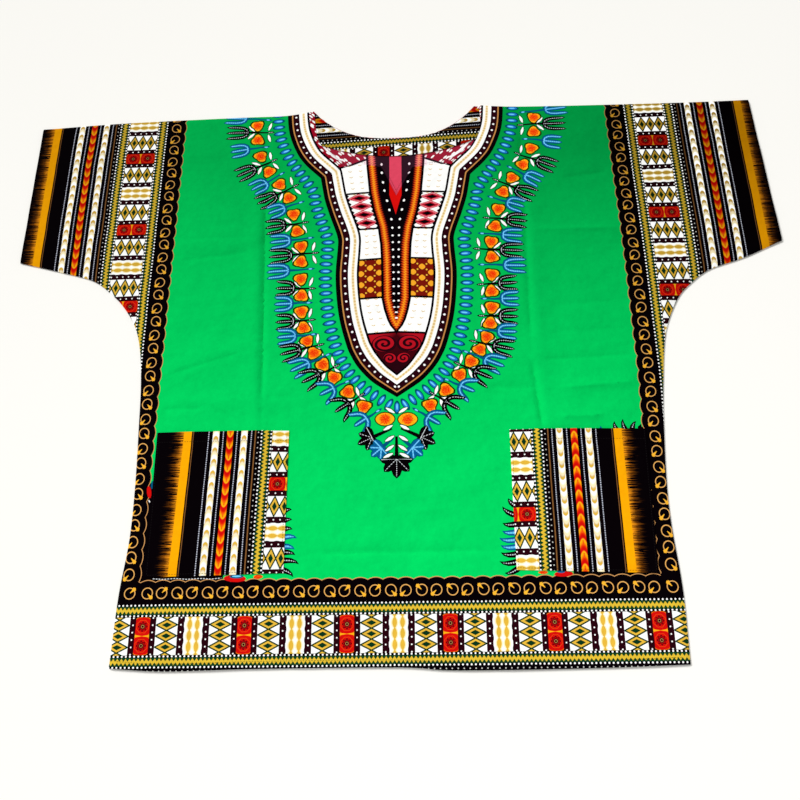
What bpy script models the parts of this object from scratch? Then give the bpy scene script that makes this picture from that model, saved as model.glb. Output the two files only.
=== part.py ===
"""Dashiki shirt laid flat: two panels with the sleeves cut in one, a neck facing and two pockets.

The shirt lies on its back on the floor, neck towards +Y and hem towards -Y, front side up.
Lengths in the tables are millimetres; the model is in metres.
"""
import math

import bmesh
import bpy
import numpy as np
from mathutils.geometry import delaunay_2d_cdt

MM = 0.001

# layers, from the floor up
PANEL_WALL = 1.2 * MM
TRIM_WALL = 1.0 * MM
SEAM_GAP = 0.3 * MM

# side seam and underarm, from the hem corner to the sleeve end, one row for each section
SIDE_SEAM = (
    # section, left x, left y, right x, right y
    ("hem corner", -348, -404, 342, -406),
    ("hip", -346, -320, 344, -320),
    ("low waist", -340, -250, 340, -240),
    ("waist", -340, -180, 341, -180),
    ("rib", -344, -92, 348, -92),
    ("chest", -347, -40, 355, -34),
    ("underarm start", -353, 9, 362, 10),
    ("underarm", -364, 48, 371, 40),
    ("underarm bend", -384, 80, 388, 74),
    ("sleeve root", -404, 101, 407, 95),
    ("sleeve under", -433, 123, 437, 117),
    ("sleeve under, outer", -484, 139, 488, 135),
    ("sleeve corner", -543, 155, 543, 160),
)

# shoulder seam, from the sleeve end in to the neck
SHOULDER_SEAM = (
    ("sleeve top corner", -543, 390, 534, 405),
    ("over the sleeve", -420, 397, 420, 404),
    ("shoulder", -250, 401, 250, 405),
    ("beside the neck", -165, 402, 162, 407),
    ("neck point", -124, 408, 128, 410),
)

# front neckline, from the neck point down to the slit
FRONT_NECK = (
    ("neck point", -124, 408, 128, 410),
    ("side of the neck", -121, 378, 129, 386),
    ("upper curve", -116, 353, 126, 358),
    ("lower curve", -100, 329, 109, 330),
    ("corner", -76, 303, 76, 304),
)
NECK_BOTTOM = (
    ("corner", -76, 303, 76, 304),
    ("neck bottom", -50, 307, 50, 303),
    ("slit mouth", -21, 302, 25, 300),
)
SLIT_END = (1, 251)

# hem, from the left corner to the right one
HEM = (
    ("left corner", -348, -404),
    ("left dip", -280, -408),
    ("left rise", -170, -406),
    ("centre", 0, -406),
    ("right dip", 70, -410),
    ("right", 230, -409),
    ("right corner", 342, -406),
)

# back neckline: a flat-bottomed curve between the back's neck points
BACK_NECK_LEFT = (-124, 408)
BACK_NECK_RIGHT = (121, 410)
BACK_NECK_DIP = 355.5
BACK_NECK_POWER = 2.8
NECK_POINTS = 25

# facing: a strip below the back neckline, its ends tucked under the front's neck edge
FACING_INSET = 1.2
FACING_LOW = 322
FACING_RISE = 27
FACING_HALF = 121
FACING_END_INSET = 2
FACING_TUCK = 5
FACING_END_LOW = 350 * MM
FACING_END_HIGH = 400 * MM

# patch pockets: corners from the mouth's left corner clockwise
POCKETS = {
    "left_pocket": ((-317, -108), (-142, -109), (-142, -294), (-315, -297)),
    "right_pocket": ((146, -113), (322, -115), (317, -300), (145, -294)),
}
POCKET_GAPE = 1.6 * MM
GAPE_DEPTH = 60 * MM

# lay of the front on the back
SWELL = 1.3 * MM
SWELL_REACH = 70 * MM
NECK_PLATEAU = 9 * MM
NECK_FADE = 45 * MM
RING_CLEARANCE = 7 * MM

# press folds and creases of the front: a soft ridge along each line
FOLDS = (
    # fold, from x, from y, to x, to y, half width, height
    ("left press fold", -198, 330, -178, -330, 15, 2.4),
    ("right press fold", 194, 330, 183, -330, 15, 2.2),
    ("left cross fold", -335, -74, -120, -60, 17, 1.6),
    ("right cross fold", 190, -97, 335, -86, 17, 1.7),
    ("left hip crease", -320, -27, -200, 11, 16, 1.8),
    ("right hip crease", 205, -56, 330, -48, 15, 1.5),
    ("left upper fold", -320, 176, -190, 184, 17, 1.4),
    ("right upper fold", 200, 173, 330, 182, 17, 1.5),
    ("middle fold", -110, -195, 130, -188, 18, 1.3),
    ("left underarm crease", -420, 150, -330, 60, 18, 2.2),
    ("right underarm crease", 425, 150, 335, 55, 18, 2.3),
    ("left sleeve fold", -470, 190, -452, 350, 15, 1.6),
    ("right sleeve fold", 462, 200, 470, 360, 15, 1.5),
)

# mesh spacing, and the half size of the plain grid
GRID = 17 * MM
GRID_HALF = (33, 25)
OUTLINE_STEP = 12 * MM
CLEARANCE = 7.5 * MM
CLOSEST = 10 * MM

GREEN = (0.01, 0.48, 0.10)
BORDER = (0.05, 0.03, 0.03)
WRONG_SIDE = (0.06, 0.42, 0.16)


def side_points(rows, side):
    """The table's points on one side, in metres."""
    first = 1 if side == "left" else 3
    return [(row[first] * MM, row[first + 1] * MM) for row in rows]


def smooth_line(points, step=OUTLINE_STEP):
    """Points along a Catmull-Rom curve through the given ones, both ends included."""
    knots = [np.array(point, dtype=float) for point in points]
    knots = [2 * knots[0] - knots[1]] + knots + [2 * knots[-1] - knots[-2]]
    line = []
    for before, start, end, after in zip(knots, knots[1:], knots[2:], knots[3:]):
        count = max(1, round(float(np.linalg.norm(end - start)) / step))
        for t in np.arange(count) / count:
            bend = 2 * start + (end - before) * t
            bend = bend + (2 * before - 5 * start + 4 * end - after) * t ** 2
            bend = bend + (3 * start - before - 3 * end + after) * t ** 3
            line.append(tuple(bend / 2))
    line.append(tuple(knots[-2]))
    return line


def straight_line(start, end, step=OUTLINE_STEP):
    """Points along a straight edge, both ends included."""
    count = max(1, round(math.dist(start, end) / step))
    return [
        (start[0] + (end[0] - start[0]) * i / count, start[1] + (end[1] - start[1]) * i / count)
        for i in range(count + 1)
    ]


def joined(*lines):
    """One closed outline from lines that meet end to end."""
    outline = []
    for line in lines:
        outline.extend(line[:-1])
    return outline


def seam_lines():
    """The hem and all the right seams up to the neck, then the left seams down to the hem."""
    hem = smooth_line([(x * MM, y * MM) for _, x, y in HEM])
    right_side = smooth_line(side_points(SIDE_SEAM, "right"))
    left_side = smooth_line(side_points(SIDE_SEAM, "left"))[::-1]
    right_shoulder = smooth_line(side_points(SHOULDER_SEAM, "right"))
    left_shoulder = smooth_line(side_points(SHOULDER_SEAM, "left"))[::-1]
    right_end = straight_line(right_side[-1], right_shoulder[0])
    left_end = straight_line(left_shoulder[-1], left_side[0])
    right = hem + right_side[1:] + right_end[1:] + right_shoulder[1:]
    left = left_shoulder + left_end[1:] + left_side[1:]
    return right, left


def front_neckline():
    """The front neckline from the right neck point to the left one, down round the slit."""
    right = smooth_line(side_points(FRONT_NECK, "right"))
    right_bottom = smooth_line(side_points(NECK_BOTTOM, "right"))
    slit_end = (SLIT_END[0] * MM, SLIT_END[1] * MM)
    left_bottom = smooth_line(side_points(NECK_BOTTOM, "left"))[::-1]
    left = smooth_line(side_points(FRONT_NECK, "left"))[::-1]
    slit = straight_line(right_bottom[-1], slit_end) + straight_line(slit_end, left_bottom[0])[1:]
    return right + right_bottom[1:] + slit[1:] + left_bottom[1:] + left[1:]


def back_neck_height(x):
    """How far up the back neckline is at x, in millimetres."""
    x_end, y_end = BACK_NECK_RIGHT if x > 0 else BACK_NECK_LEFT
    return BACK_NECK_DIP + (y_end - BACK_NECK_DIP) * abs(x / x_end) ** BACK_NECK_POWER


def back_neckline():
    """The back neckline from its right neck point to its left one."""
    across = np.linspace(BACK_NECK_RIGHT[0], BACK_NECK_LEFT[0], NECK_POINTS)
    return [(x * MM, back_neck_height(x) * MM) for x in across]


def distance_to(points, line):
    """Each point's distance to an open line."""
    points = np.asarray(points)
    starts = np.asarray(line[:-1])
    runs = np.asarray(line[1:]) - starts
    offsets = points[:, None, :] - starts[None]
    along = (offsets * runs).sum(2) / np.maximum((runs ** 2).sum(1), 1e-12)
    nearest = starts + np.clip(along, 0, 1)[:, :, None] * runs
    return np.sqrt(((points[:, None, :] - nearest) ** 2).sum(2)).min(1)


def inside(points, outline):
    """Whether each point lies in a closed outline."""
    points = np.asarray(points)
    hit = np.zeros(len(points), dtype=bool)
    for (x0, y0), (x1, y1) in zip(outline, outline[1:] + outline[:1]):
        if y0 == y1:
            continue
        crosses = (y0 > points[:, 1]) != (y1 > points[:, 1])
        hit ^= crosses & (points[:, 0] < x0 + (points[:, 1] - y0) * (x1 - x0) / (y1 - y0))
    return hit


def triangles(outline, lines=(), loose=()):
    """Triangles inside an outline, with edges along the closed inner lines and points at the loose ones."""
    points = list(outline)
    edges = [(i, (i + 1) % len(outline)) for i in range(len(outline))]
    for line in lines:
        first = len(points)
        points.extend(line)
        edges.extend((first + i, first + (i + 1) % len(line)) for i in range(len(line)))
    points.extend(loose)
    inside_only = 1
    result = delaunay_2d_cdt(points, edges, [], inside_only, 1e-7)
    flat = np.array([tuple(point) for point in result[0]])
    return flat, [tuple(face) for face in result[2]]


def ridge(points, start, end, half_width, height):
    """A soft ridge along a line, round across and faded at both ends."""
    start = np.array(start)
    run = np.array(end) - start
    length = float(np.linalg.norm(run))
    along = (points - start) @ run / length
    across = (points - start) @ np.array((-run[1], run[0])) / length
    fade = 0.25 * length
    ends = np.clip(np.minimum(along, length - along) / fade + 0.2, 0, 1)
    return height * np.exp(-(across / half_width) ** 2) * ends * ends * (3 - 2 * ends)


def front_lay(points, seams, neckline):
    """Height of the front's underside over a front pressed flat on the back."""
    to_seam = np.minimum(*(distance_to(points, line) for line in seams))
    to_neck = distance_to(points, neckline)
    room = np.clip(to_seam / SWELL_REACH, 0, 1)
    room = room * room * (3 - 2 * room)
    lay = SWELL * room
    for _, x0, y0, x1, y1, half_width, height in FOLDS:
        start = (x0 * MM, y0 * MM)
        end = (x1 * MM, y1 * MM)
        lay = lay + room * ridge(points, start, end, half_width * MM, height * MM)
    over_facing = TRIM_WALL + SEAM_GAP
    near_neck = 1 - np.clip((to_neck - NECK_PLATEAU) / NECK_FADE, 0, 1)
    near_neck = near_neck * near_neck * (3 - 2 * near_neck)
    return np.maximum(lay, over_facing * near_neck)


def cloth_wall(name, flat, faces, underside, wall, colour, parent):
    """A sheet of cloth: its underside at the given heights, raised into a wall."""
    bm = bmesh.new()
    corners = [bm.verts.new((x, y, z)) for (x, y), z in zip(flat, underside)]
    for face in faces:
        bm.faces.new([corners[i] for i in face])
    loose = [vert for vert in bm.verts if not vert.link_faces]
    bmesh.ops.delete(bm, geom=loose, context="VERTS")
    raised = bmesh.ops.extrude_face_region(bm, geom=bm.faces[:])
    top = [item for item in raised["geom"] if isinstance(item, bmesh.types.BMVert)]
    bmesh.ops.translate(bm, vec=(0, 0, wall), verts=top)
    bmesh.ops.recalc_face_normals(bm, faces=bm.faces[:])
    mesh = bpy.data.meshes.new(name)
    bm.to_mesh(mesh)
    bm.free()
    piece = bpy.data.objects.new(name, mesh)
    bpy.context.collection.objects.link(piece)
    piece.data.materials.append(cloth_material(name, colour))
    piece.parent = parent
    return piece


def cloth_material(name, colour):
    """Printed cotton: matt, with a faint sheen."""
    material = bpy.data.materials.new(name + "_cloth")
    material.use_nodes = True
    shader = material.node_tree.nodes["Principled BSDF"]
    shader.inputs["Base Color"].default_value = (*colour, 1)
    shader.inputs["Roughness"].default_value = 0.75
    shader.inputs["Metallic"].default_value = 0
    return material


def make_back(parent):
    """The back panel, flat on the floor and flat on top."""
    right, left = seam_lines()
    neck = straight_line(right[-1], (BACK_NECK_RIGHT[0] * MM, BACK_NECK_RIGHT[1] * MM))
    outline = joined(right, neck, back_neckline(), left)
    flat, faces = triangles(outline)
    cloth_wall("back_panel", flat, faces, np.zeros(len(flat)), PANEL_WALL, WRONG_SIDE, parent)


def make_facing(parent):
    """The facing, flat on the back panel."""
    upper = []
    for x in np.linspace(FACING_HALF, -FACING_HALF, NECK_POINTS):
        upper.append((x * MM, (back_neck_height(x) - FACING_INSET) * MM))
    ends = []
    for side, outward in (("left", -1), ("right", 1)):
        line = smooth_line(side_points(FRONT_NECK, side))
        kept = [(x, y) for x, y in line if FACING_END_LOW < y < FACING_END_HIGH]
        ends.append([(x + outward * FACING_TUCK * MM, y) for x, y in kept])
    lower = []
    low_half = FACING_HALF - FACING_END_INSET
    for x in np.linspace(-low_half, low_half, NECK_POINTS):
        height = FACING_LOW + FACING_RISE * (x / FACING_HALF) ** 2
        lower.append((x * MM, height * MM))
    outline = upper + ends[0] + lower + ends[1][::-1]
    flat, faces = triangles(outline)
    height = np.full(len(flat), PANEL_WALL + SEAM_GAP)
    cloth_wall("back_neck_facing", flat, faces, height, TRIM_WALL, BORDER, parent)


def clear_of(points, outline, lines):
    """The points that lie inside the outline, clear of it and of the inner lines."""
    points = np.array(points)
    points = points[inside(points, outline)]
    for line in (outline, *lines):
        points = points[distance_to(points, line + line[:1]) > CLEARANCE]
    return [tuple(point) for point in points]


def grid_points(outline, lines):
    """Points on a plain staggered grid over the panel."""
    columns, rows = GRID_HALF
    points = []
    for row in range(-rows, rows + 1):
        stagger = GRID / 2 if row % 2 else 0
        points.extend((column * GRID + stagger, row * GRID) for column in range(-columns, columns + 1))
    return clear_of(points, outline, lines)


def neck_ring(neckline, outline):
    """A line of points just outside the neckline, where the front is lifted over the facing."""
    ring = []
    for before, here, after in zip(neckline, neckline[1:], neckline[2:]):
        run = np.array(after) - np.array(before)
        out = np.array((-run[1], run[0])) / np.linalg.norm(run)
        ring.append(tuple(np.array(here) + out * NECK_PLATEAU))
    ring = [point for point in ring if inside([point], outline)[0]]
    return [point for point in ring if distance_to([point], outline)[0] > RING_CLEARANCE]


def fold_points(outline, lines):
    """Points along the crest of each fold and on both its flanks."""
    points = []
    for _, x0, y0, x1, y1, half_width, _ in FOLDS:
        crest = straight_line((x0 * MM, y0 * MM), (x1 * MM, y1 * MM), GRID)
        run = np.array((x1 - x0, y1 - y0)) / math.dist((x0, y0), (x1, y1))
        for flank in (-1, 0, 1):
            shift = flank * half_width * MM * np.array((-run[1], run[0]))
            points.extend(tuple(np.array(point) + shift) for point in crest)
    return clear_of(points, outline, lines)


def apart(points, spacing):
    """The points in order, without those that lie too close to an earlier one."""
    kept = []
    for point in points:
        if all(math.dist(point, other) > spacing for other in kept):
            kept.append(point)
    return kept


def make_front(parent):
    """The front panel, lying on the back and lifted over the facing."""
    right, left = seam_lines()
    neckline = front_neckline()
    outline = joined(right, neckline, left)
    lines = []
    for corners in POCKETS.values():
        places = [(x * MM, y * MM) for x, y in corners]
        sides = [straight_line(a, b, GRID) for a, b in zip(places, places[1:] + places[:1])]
        lines.append(joined(*sides))
    loose = neck_ring(neckline, outline) + fold_points(outline, lines) + grid_points(outline, lines)
    flat, faces = triangles(outline, lines, apart(loose, CLOSEST))
    lay = front_lay(flat, (right, left), neckline)
    underside = PANEL_WALL + SEAM_GAP + lay
    cloth_wall("front_panel", flat, faces, underside, PANEL_WALL, GREEN, parent)
    return flat, faces, underside, lines


def make_pockets(flat, faces, underside, lines, parent):
    """Each pocket is the front's own faces inside the pocket's outline, moved out."""
    centres = np.array([flat[list(face)].mean(0) for face in faces])
    for name, line in zip(POCKETS, lines):
        chosen = inside(centres, line)
        own_faces = [face for face, keep in zip(faces, chosen) if keep]
        mouth = np.array(line)[:, 1].max()
        x_low = np.array(line)[:, 0].min()
        x_high = np.array(line)[:, 0].max()
        across = np.clip((flat[:, 0] - x_low) / (x_high - x_low), 0, 1)
        down = np.clip((mouth - flat[:, 1]) / GAPE_DEPTH, 0, 1)
        gape = POCKET_GAPE * np.sin(math.pi * across) ** 2 * (1 - down) ** 2
        height = underside + PANEL_WALL + SEAM_GAP + gape
        cloth_wall(name, flat, own_faces, height, TRIM_WALL, BORDER, parent)


def main():
    for item in list(bpy.data.objects):
        bpy.data.objects.remove(item, do_unlink=True)
    shirt = bpy.data.objects.new("dashiki_shirt", None)
    bpy.context.collection.objects.link(shirt)
    make_back(shirt)
    make_facing(shirt)
    flat, faces, underside, lines = make_front(shirt)
    make_pockets(flat, faces, underside, lines, shirt)


main()
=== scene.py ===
# Dashiki shirt laid flat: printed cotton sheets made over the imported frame.
# Places are metres; the print's own figures are millimetres, as on a printer's drawing.
import math

import bpy
import numpy as np
from mathutils import Matrix, Vector, kdtree, noise
from mathutils.geometry import delaunay_2d_cdt


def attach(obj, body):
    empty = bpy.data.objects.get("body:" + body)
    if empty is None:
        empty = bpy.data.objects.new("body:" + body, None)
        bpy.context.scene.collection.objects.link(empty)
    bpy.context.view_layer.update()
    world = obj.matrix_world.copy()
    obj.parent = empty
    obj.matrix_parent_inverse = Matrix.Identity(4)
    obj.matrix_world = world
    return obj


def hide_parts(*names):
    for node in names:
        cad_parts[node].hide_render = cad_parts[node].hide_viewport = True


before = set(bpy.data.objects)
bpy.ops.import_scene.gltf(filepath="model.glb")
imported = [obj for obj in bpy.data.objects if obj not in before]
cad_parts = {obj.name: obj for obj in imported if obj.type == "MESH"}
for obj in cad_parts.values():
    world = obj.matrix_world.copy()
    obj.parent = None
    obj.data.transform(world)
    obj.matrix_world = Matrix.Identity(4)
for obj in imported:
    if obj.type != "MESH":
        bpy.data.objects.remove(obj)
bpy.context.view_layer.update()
mm = 0.001
print("frame loaded")

view = {"place": (0.03774, -0.45038, 1.02115), "yaw": 5.05, "tilt": 20.64, "roll": -5.89, "lens": 36.9}

room = {
    "floorSize": 80.0,
    "floorLevel": -0.0004,
    "floorColour": (0.955, 0.946, 0.908, 1),
    "floorRoughness": 0.9,
    "skyColour": (1.0, 0.99, 0.965, 1),
    "skyStrength": 0.38,
    "sun": {"from": (-1.0, 0.8, 1.05), "strength": 2.76, "width": 22},
    "flash": {"from": (0.05, -0.75, 1.5), "aims": (0, -0.12, 0), "width": 0.5, "watts": 4.2},
}


def deselect():
    if bpy.context.object and bpy.context.object.mode != "OBJECT":
        bpy.ops.object.mode_set(mode="OBJECT")
    bpy.ops.object.select_all(action="DESELECT")


def addObject(name, data):
    made = bpy.data.objects.new(name, data)
    bpy.context.scene.collection.objects.link(made)
    return made


def addMesh(name, mesh):
    # a new object that is the only one selected
    piece = addObject(name, mesh)
    deselect()
    piece.select_set(True)
    bpy.context.view_layer.objects.active = piece
    return piece


def setCamera():
    lens = bpy.data.cameras.new("camera")
    lens.lens = view["lens"]
    lens.sensor_width = 36
    lens.clip_end = 50
    eye = addObject("camera", lens)
    turn = Matrix.Rotation(math.radians(view["yaw"]), 4, "Z")
    turn = turn @ Matrix.Rotation(math.radians(view["tilt"]), 4, "X")
    turn = turn @ Matrix.Rotation(math.radians(view["roll"]), 4, "Z")
    eye.matrix_world = Matrix.Translation(view["place"]) @ turn
    bpy.context.scene.camera = eye


def aimed(place, target):
    turn = (Vector(target) - Vector(place)).to_track_quat("-Z", "Y")
    return Matrix.Translation(place) @ turn.to_matrix().to_4x4()


def setLamps():
    flash = bpy.data.lights.new("flash", "AREA")
    flash.size = room["flash"]["width"]
    flash.energy = room["flash"]["watts"]
    addObject("flash", flash).matrix_world = aimed(room["flash"]["from"], room["flash"]["aims"])
    sun = bpy.data.lights.new("sun", "SUN")
    sun.angle = math.radians(room["sun"]["width"])
    sun.energy = room["sun"]["strength"]
    addObject("sun", sun).matrix_world = aimed(room["sun"]["from"], (0, 0, 0))
    sky = bpy.data.worlds.new("sky")
    sky.use_nodes = True
    glow = sky.node_tree.nodes["Background"]
    glow.inputs["Color"].default_value = room["skyColour"]
    glow.inputs["Strength"].default_value = room["skyStrength"]
    bpy.context.scene.world = sky
    bpy.context.scene.view_settings.view_transform = "Standard"


def layFloor():
    deselect()
    bpy.ops.mesh.primitive_plane_add(size=room["floorSize"], location=(0, 0, room["floorLevel"]))
    floor = bpy.context.object
    floor.name = "floor"
    paint = bpy.data.materials.new("floorPaint")
    paint.use_nodes = True
    shader = paint.node_tree.nodes["Principled BSDF"]
    shader.inputs["Base Color"].default_value = room["floorColour"]
    shader.inputs["Roughness"].default_value = room["floorRoughness"]
    floor.data.materials.append(paint)


setCamera()
setLamps()
layFloor()
print("camera, lamps and floor set")


# ---- plane geometry of the cut pieces ----

cut = {
    # side seam and underarm from the hem corner to the sleeve end: left x, left y, right x, right y
    "side": (
        (-0.348, -0.404, 0.342, -0.406), (-0.346, -0.320, 0.344, -0.320), (-0.340, -0.250, 0.340, -0.240),
        (-0.340, -0.180, 0.341, -0.180), (-0.344, -0.092, 0.348, -0.092), (-0.347, -0.040, 0.355, -0.034),
        (-0.353, 0.009, 0.362, 0.010), (-0.364, 0.048, 0.371, 0.040), (-0.384, 0.080, 0.388, 0.074),
        (-0.404, 0.101, 0.407, 0.095), (-0.433, 0.123, 0.437, 0.117), (-0.484, 0.139, 0.488, 0.135),
        (-0.543, 0.155, 0.543, 0.160),
    ),
    # shoulder seam from the sleeve end to the neck point
    "shoulder": (
        (-0.543, 0.390, 0.534, 0.405), (-0.420, 0.397, 0.420, 0.404), (-0.250, 0.401, 0.250, 0.405),
        (-0.165, 0.402, 0.162, 0.407), (-0.124, 0.408, 0.128, 0.410),
    ),
    "neckSide": (
        (-0.124, 0.408, 0.128, 0.410), (-0.121, 0.378, 0.129, 0.386), (-0.116, 0.353, 0.126, 0.358),
        (-0.100, 0.329, 0.109, 0.330), (-0.076, 0.303, 0.076, 0.304),
    ),
    "neckBottom": (
        (-0.076, 0.303, 0.076, 0.304), (-0.050, 0.307, 0.050, 0.303), (-0.021, 0.302, 0.025, 0.300),
    ),
    "slitEnd": (0.001, 0.251),
    "hem": (
        (-0.348, -0.404), (-0.280, -0.408), (-0.170, -0.406), (0.0, -0.406),
        (0.070, -0.410), (0.230, -0.409), (0.342, -0.406),
    ),
    "backNeckLeft": (-0.124, 0.408),
    "backNeckRight": (0.121, 0.410),
    "backNeckDip": 0.3555,
    "backNeckPower": 2.8,
    "backNeckPoints": 61,
    "outlineStep": 0.004,
    # share of a sheet's point spacing that stays clear round every outline
    "clear": 0.42,
}


def smoothLine(points, step):
    # points along a smooth curve through the given ones, both ends included
    knots = [np.array(point, dtype=float) for point in points]
    knots = [2 * knots[0] - knots[1]] + knots + [2 * knots[-1] - knots[-2]]
    line = []
    for before, start, end, after in zip(knots, knots[1:], knots[2:], knots[3:]):
        count = max(1, round(float(np.linalg.norm(end - start)) / step))
        for t in np.arange(count) / count:
            bend = 2 * start + (end - before) * t
            bend = bend + (2 * before - 5 * start + 4 * end - after) * t ** 2
            bend = bend + (3 * start - before - 3 * end + after) * t ** 3
            line.append(tuple(bend / 2))
    line.append(tuple(knots[-2]))
    return line


def straightLine(start, end, step):
    count = max(1, round(math.dist(start, end) / step))
    return [
        (start[0] + (end[0] - start[0]) * i / count, start[1] + (end[1] - start[1]) * i / count)
        for i in range(count + 1)
    ]


def closedLoop(corners, step):
    # a straight-sided outline with points all along its sides
    loop = []
    for start, end in zip(corners, corners[1:] + corners[:1]):
        loop.extend(straightLine(start, end, step)[:-1])
    return loop


def block(x0, x1, y0, y1, step):
    return closedLoop([(x0, y0), (x1, y0), (x1, y1), (x0, y1)], step)


def oneSide(rows, side):
    first = 0 if side == "left" else 2
    return [(row[first], row[first + 1]) for row in rows]


def alongLine(points, line, chunk=4000):
    # each point's distance to an open line, and how far along the line it is nearest
    line = np.asarray(line, dtype=float)
    starts, runs = line[:-1], line[1:] - line[:-1]
    lengths = np.linalg.norm(runs, axis=1)
    before = np.concatenate([[0], np.cumsum(lengths)[:-1]])
    distance, along = [], []
    for first in range(0, len(points), chunk):
        offsets = points[first:first + chunk, None, :] - starts[None]
        share = np.clip((offsets * runs).sum(2) / np.maximum(lengths ** 2, 1e-14), 0, 1)
        gap = np.linalg.norm(offsets - share[:, :, None] * runs, axis=2)
        best = gap.argmin(1)
        rows = np.arange(len(best))
        distance.append(gap[rows, best])
        along.append(before[best] + share[rows, best] * lengths[best])
    return np.concatenate(distance), np.concatenate(along)


def nearest(points, lines):
    # each point's distance to the nearest of some lines
    return np.min([alongLine(points, line)[0] for line in lines], axis=0)


def normals(run):
    # a unit step to the left of each run
    return np.stack([-run[:, 1], run[:, 0]], 1) / np.linalg.norm(run, axis=1)[:, None]


def lengthsAlong(line):
    return np.concatenate([[0], np.cumsum(np.linalg.norm(np.diff(line, axis=0), axis=1))])


def readOff(spots, lengths, rows):
    # two columns read off between rows that stand at the given lengths
    return np.stack([np.interp(spots, lengths, rows[:, 0]), np.interp(spots, lengths, rows[:, 1])], 1)


def easeIn(share):
    share = np.clip(share, 0, 1)
    return share * share * (3 - 2 * share)


step = cut["outlineStep"]
seams = {
    side + part: smoothLine(oneSide(cut[part.lower()], side), step)
    for side in ("left", "right")
    for part in ("Side", "Shoulder")
}
hemLine = smoothLine(cut["hem"], step)
rightEnd = straightLine(seams["rightSide"][-1], seams["rightShoulder"][0], step)
leftEnd = straightLine(seams["leftShoulder"][0], seams["leftSide"][-1], step)
rightRun = hemLine + seams["rightSide"][1:] + rightEnd[1:] + seams["rightShoulder"][1:]
leftRun = seams["leftShoulder"][::-1] + leftEnd[1:] + seams["leftSide"][::-1][1:]


def frontNeckline():
    # from the right neck point down round the slit and up to the left one
    right, rightLow, left, leftLow = [
        smoothLine(oneSide(cut[part], side), step)
        for side in ("right", "left")
        for part in ("neckSide", "neckBottom")
    ]
    slit = straightLine(rightLow[-1], cut["slitEnd"], step)
    slit += straightLine(cut["slitEnd"], leftLow[-1], step)[1:]
    return right + rightLow[1:] + slit[1:] + leftLow[::-1][1:] + left[::-1][1:]


def backNeckHeight(x):
    endX, endY = cut["backNeckRight"] if x > 0 else cut["backNeckLeft"]
    return cut["backNeckDip"] + (endY - cut["backNeckDip"]) * abs(x / endX) ** cut["backNeckPower"]


def backNeckLine(start, end, drop):
    # along the back neck edge, or a drop below it
    return [(x, backNeckHeight(x) - drop) for x in np.linspace(start, end, cut["backNeckPoints"])]


frontNeck = frontNeckline()
backNeck = backNeckLine(cut["backNeckRight"][0], cut["backNeckLeft"][0], 0)
frontOutline = rightRun[:-1] + frontNeck[:-1] + leftRun[:-1]
backOutline = rightRun + backNeck[:-1] + leftRun[:-1]


# ---- how the front lies ----

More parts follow.
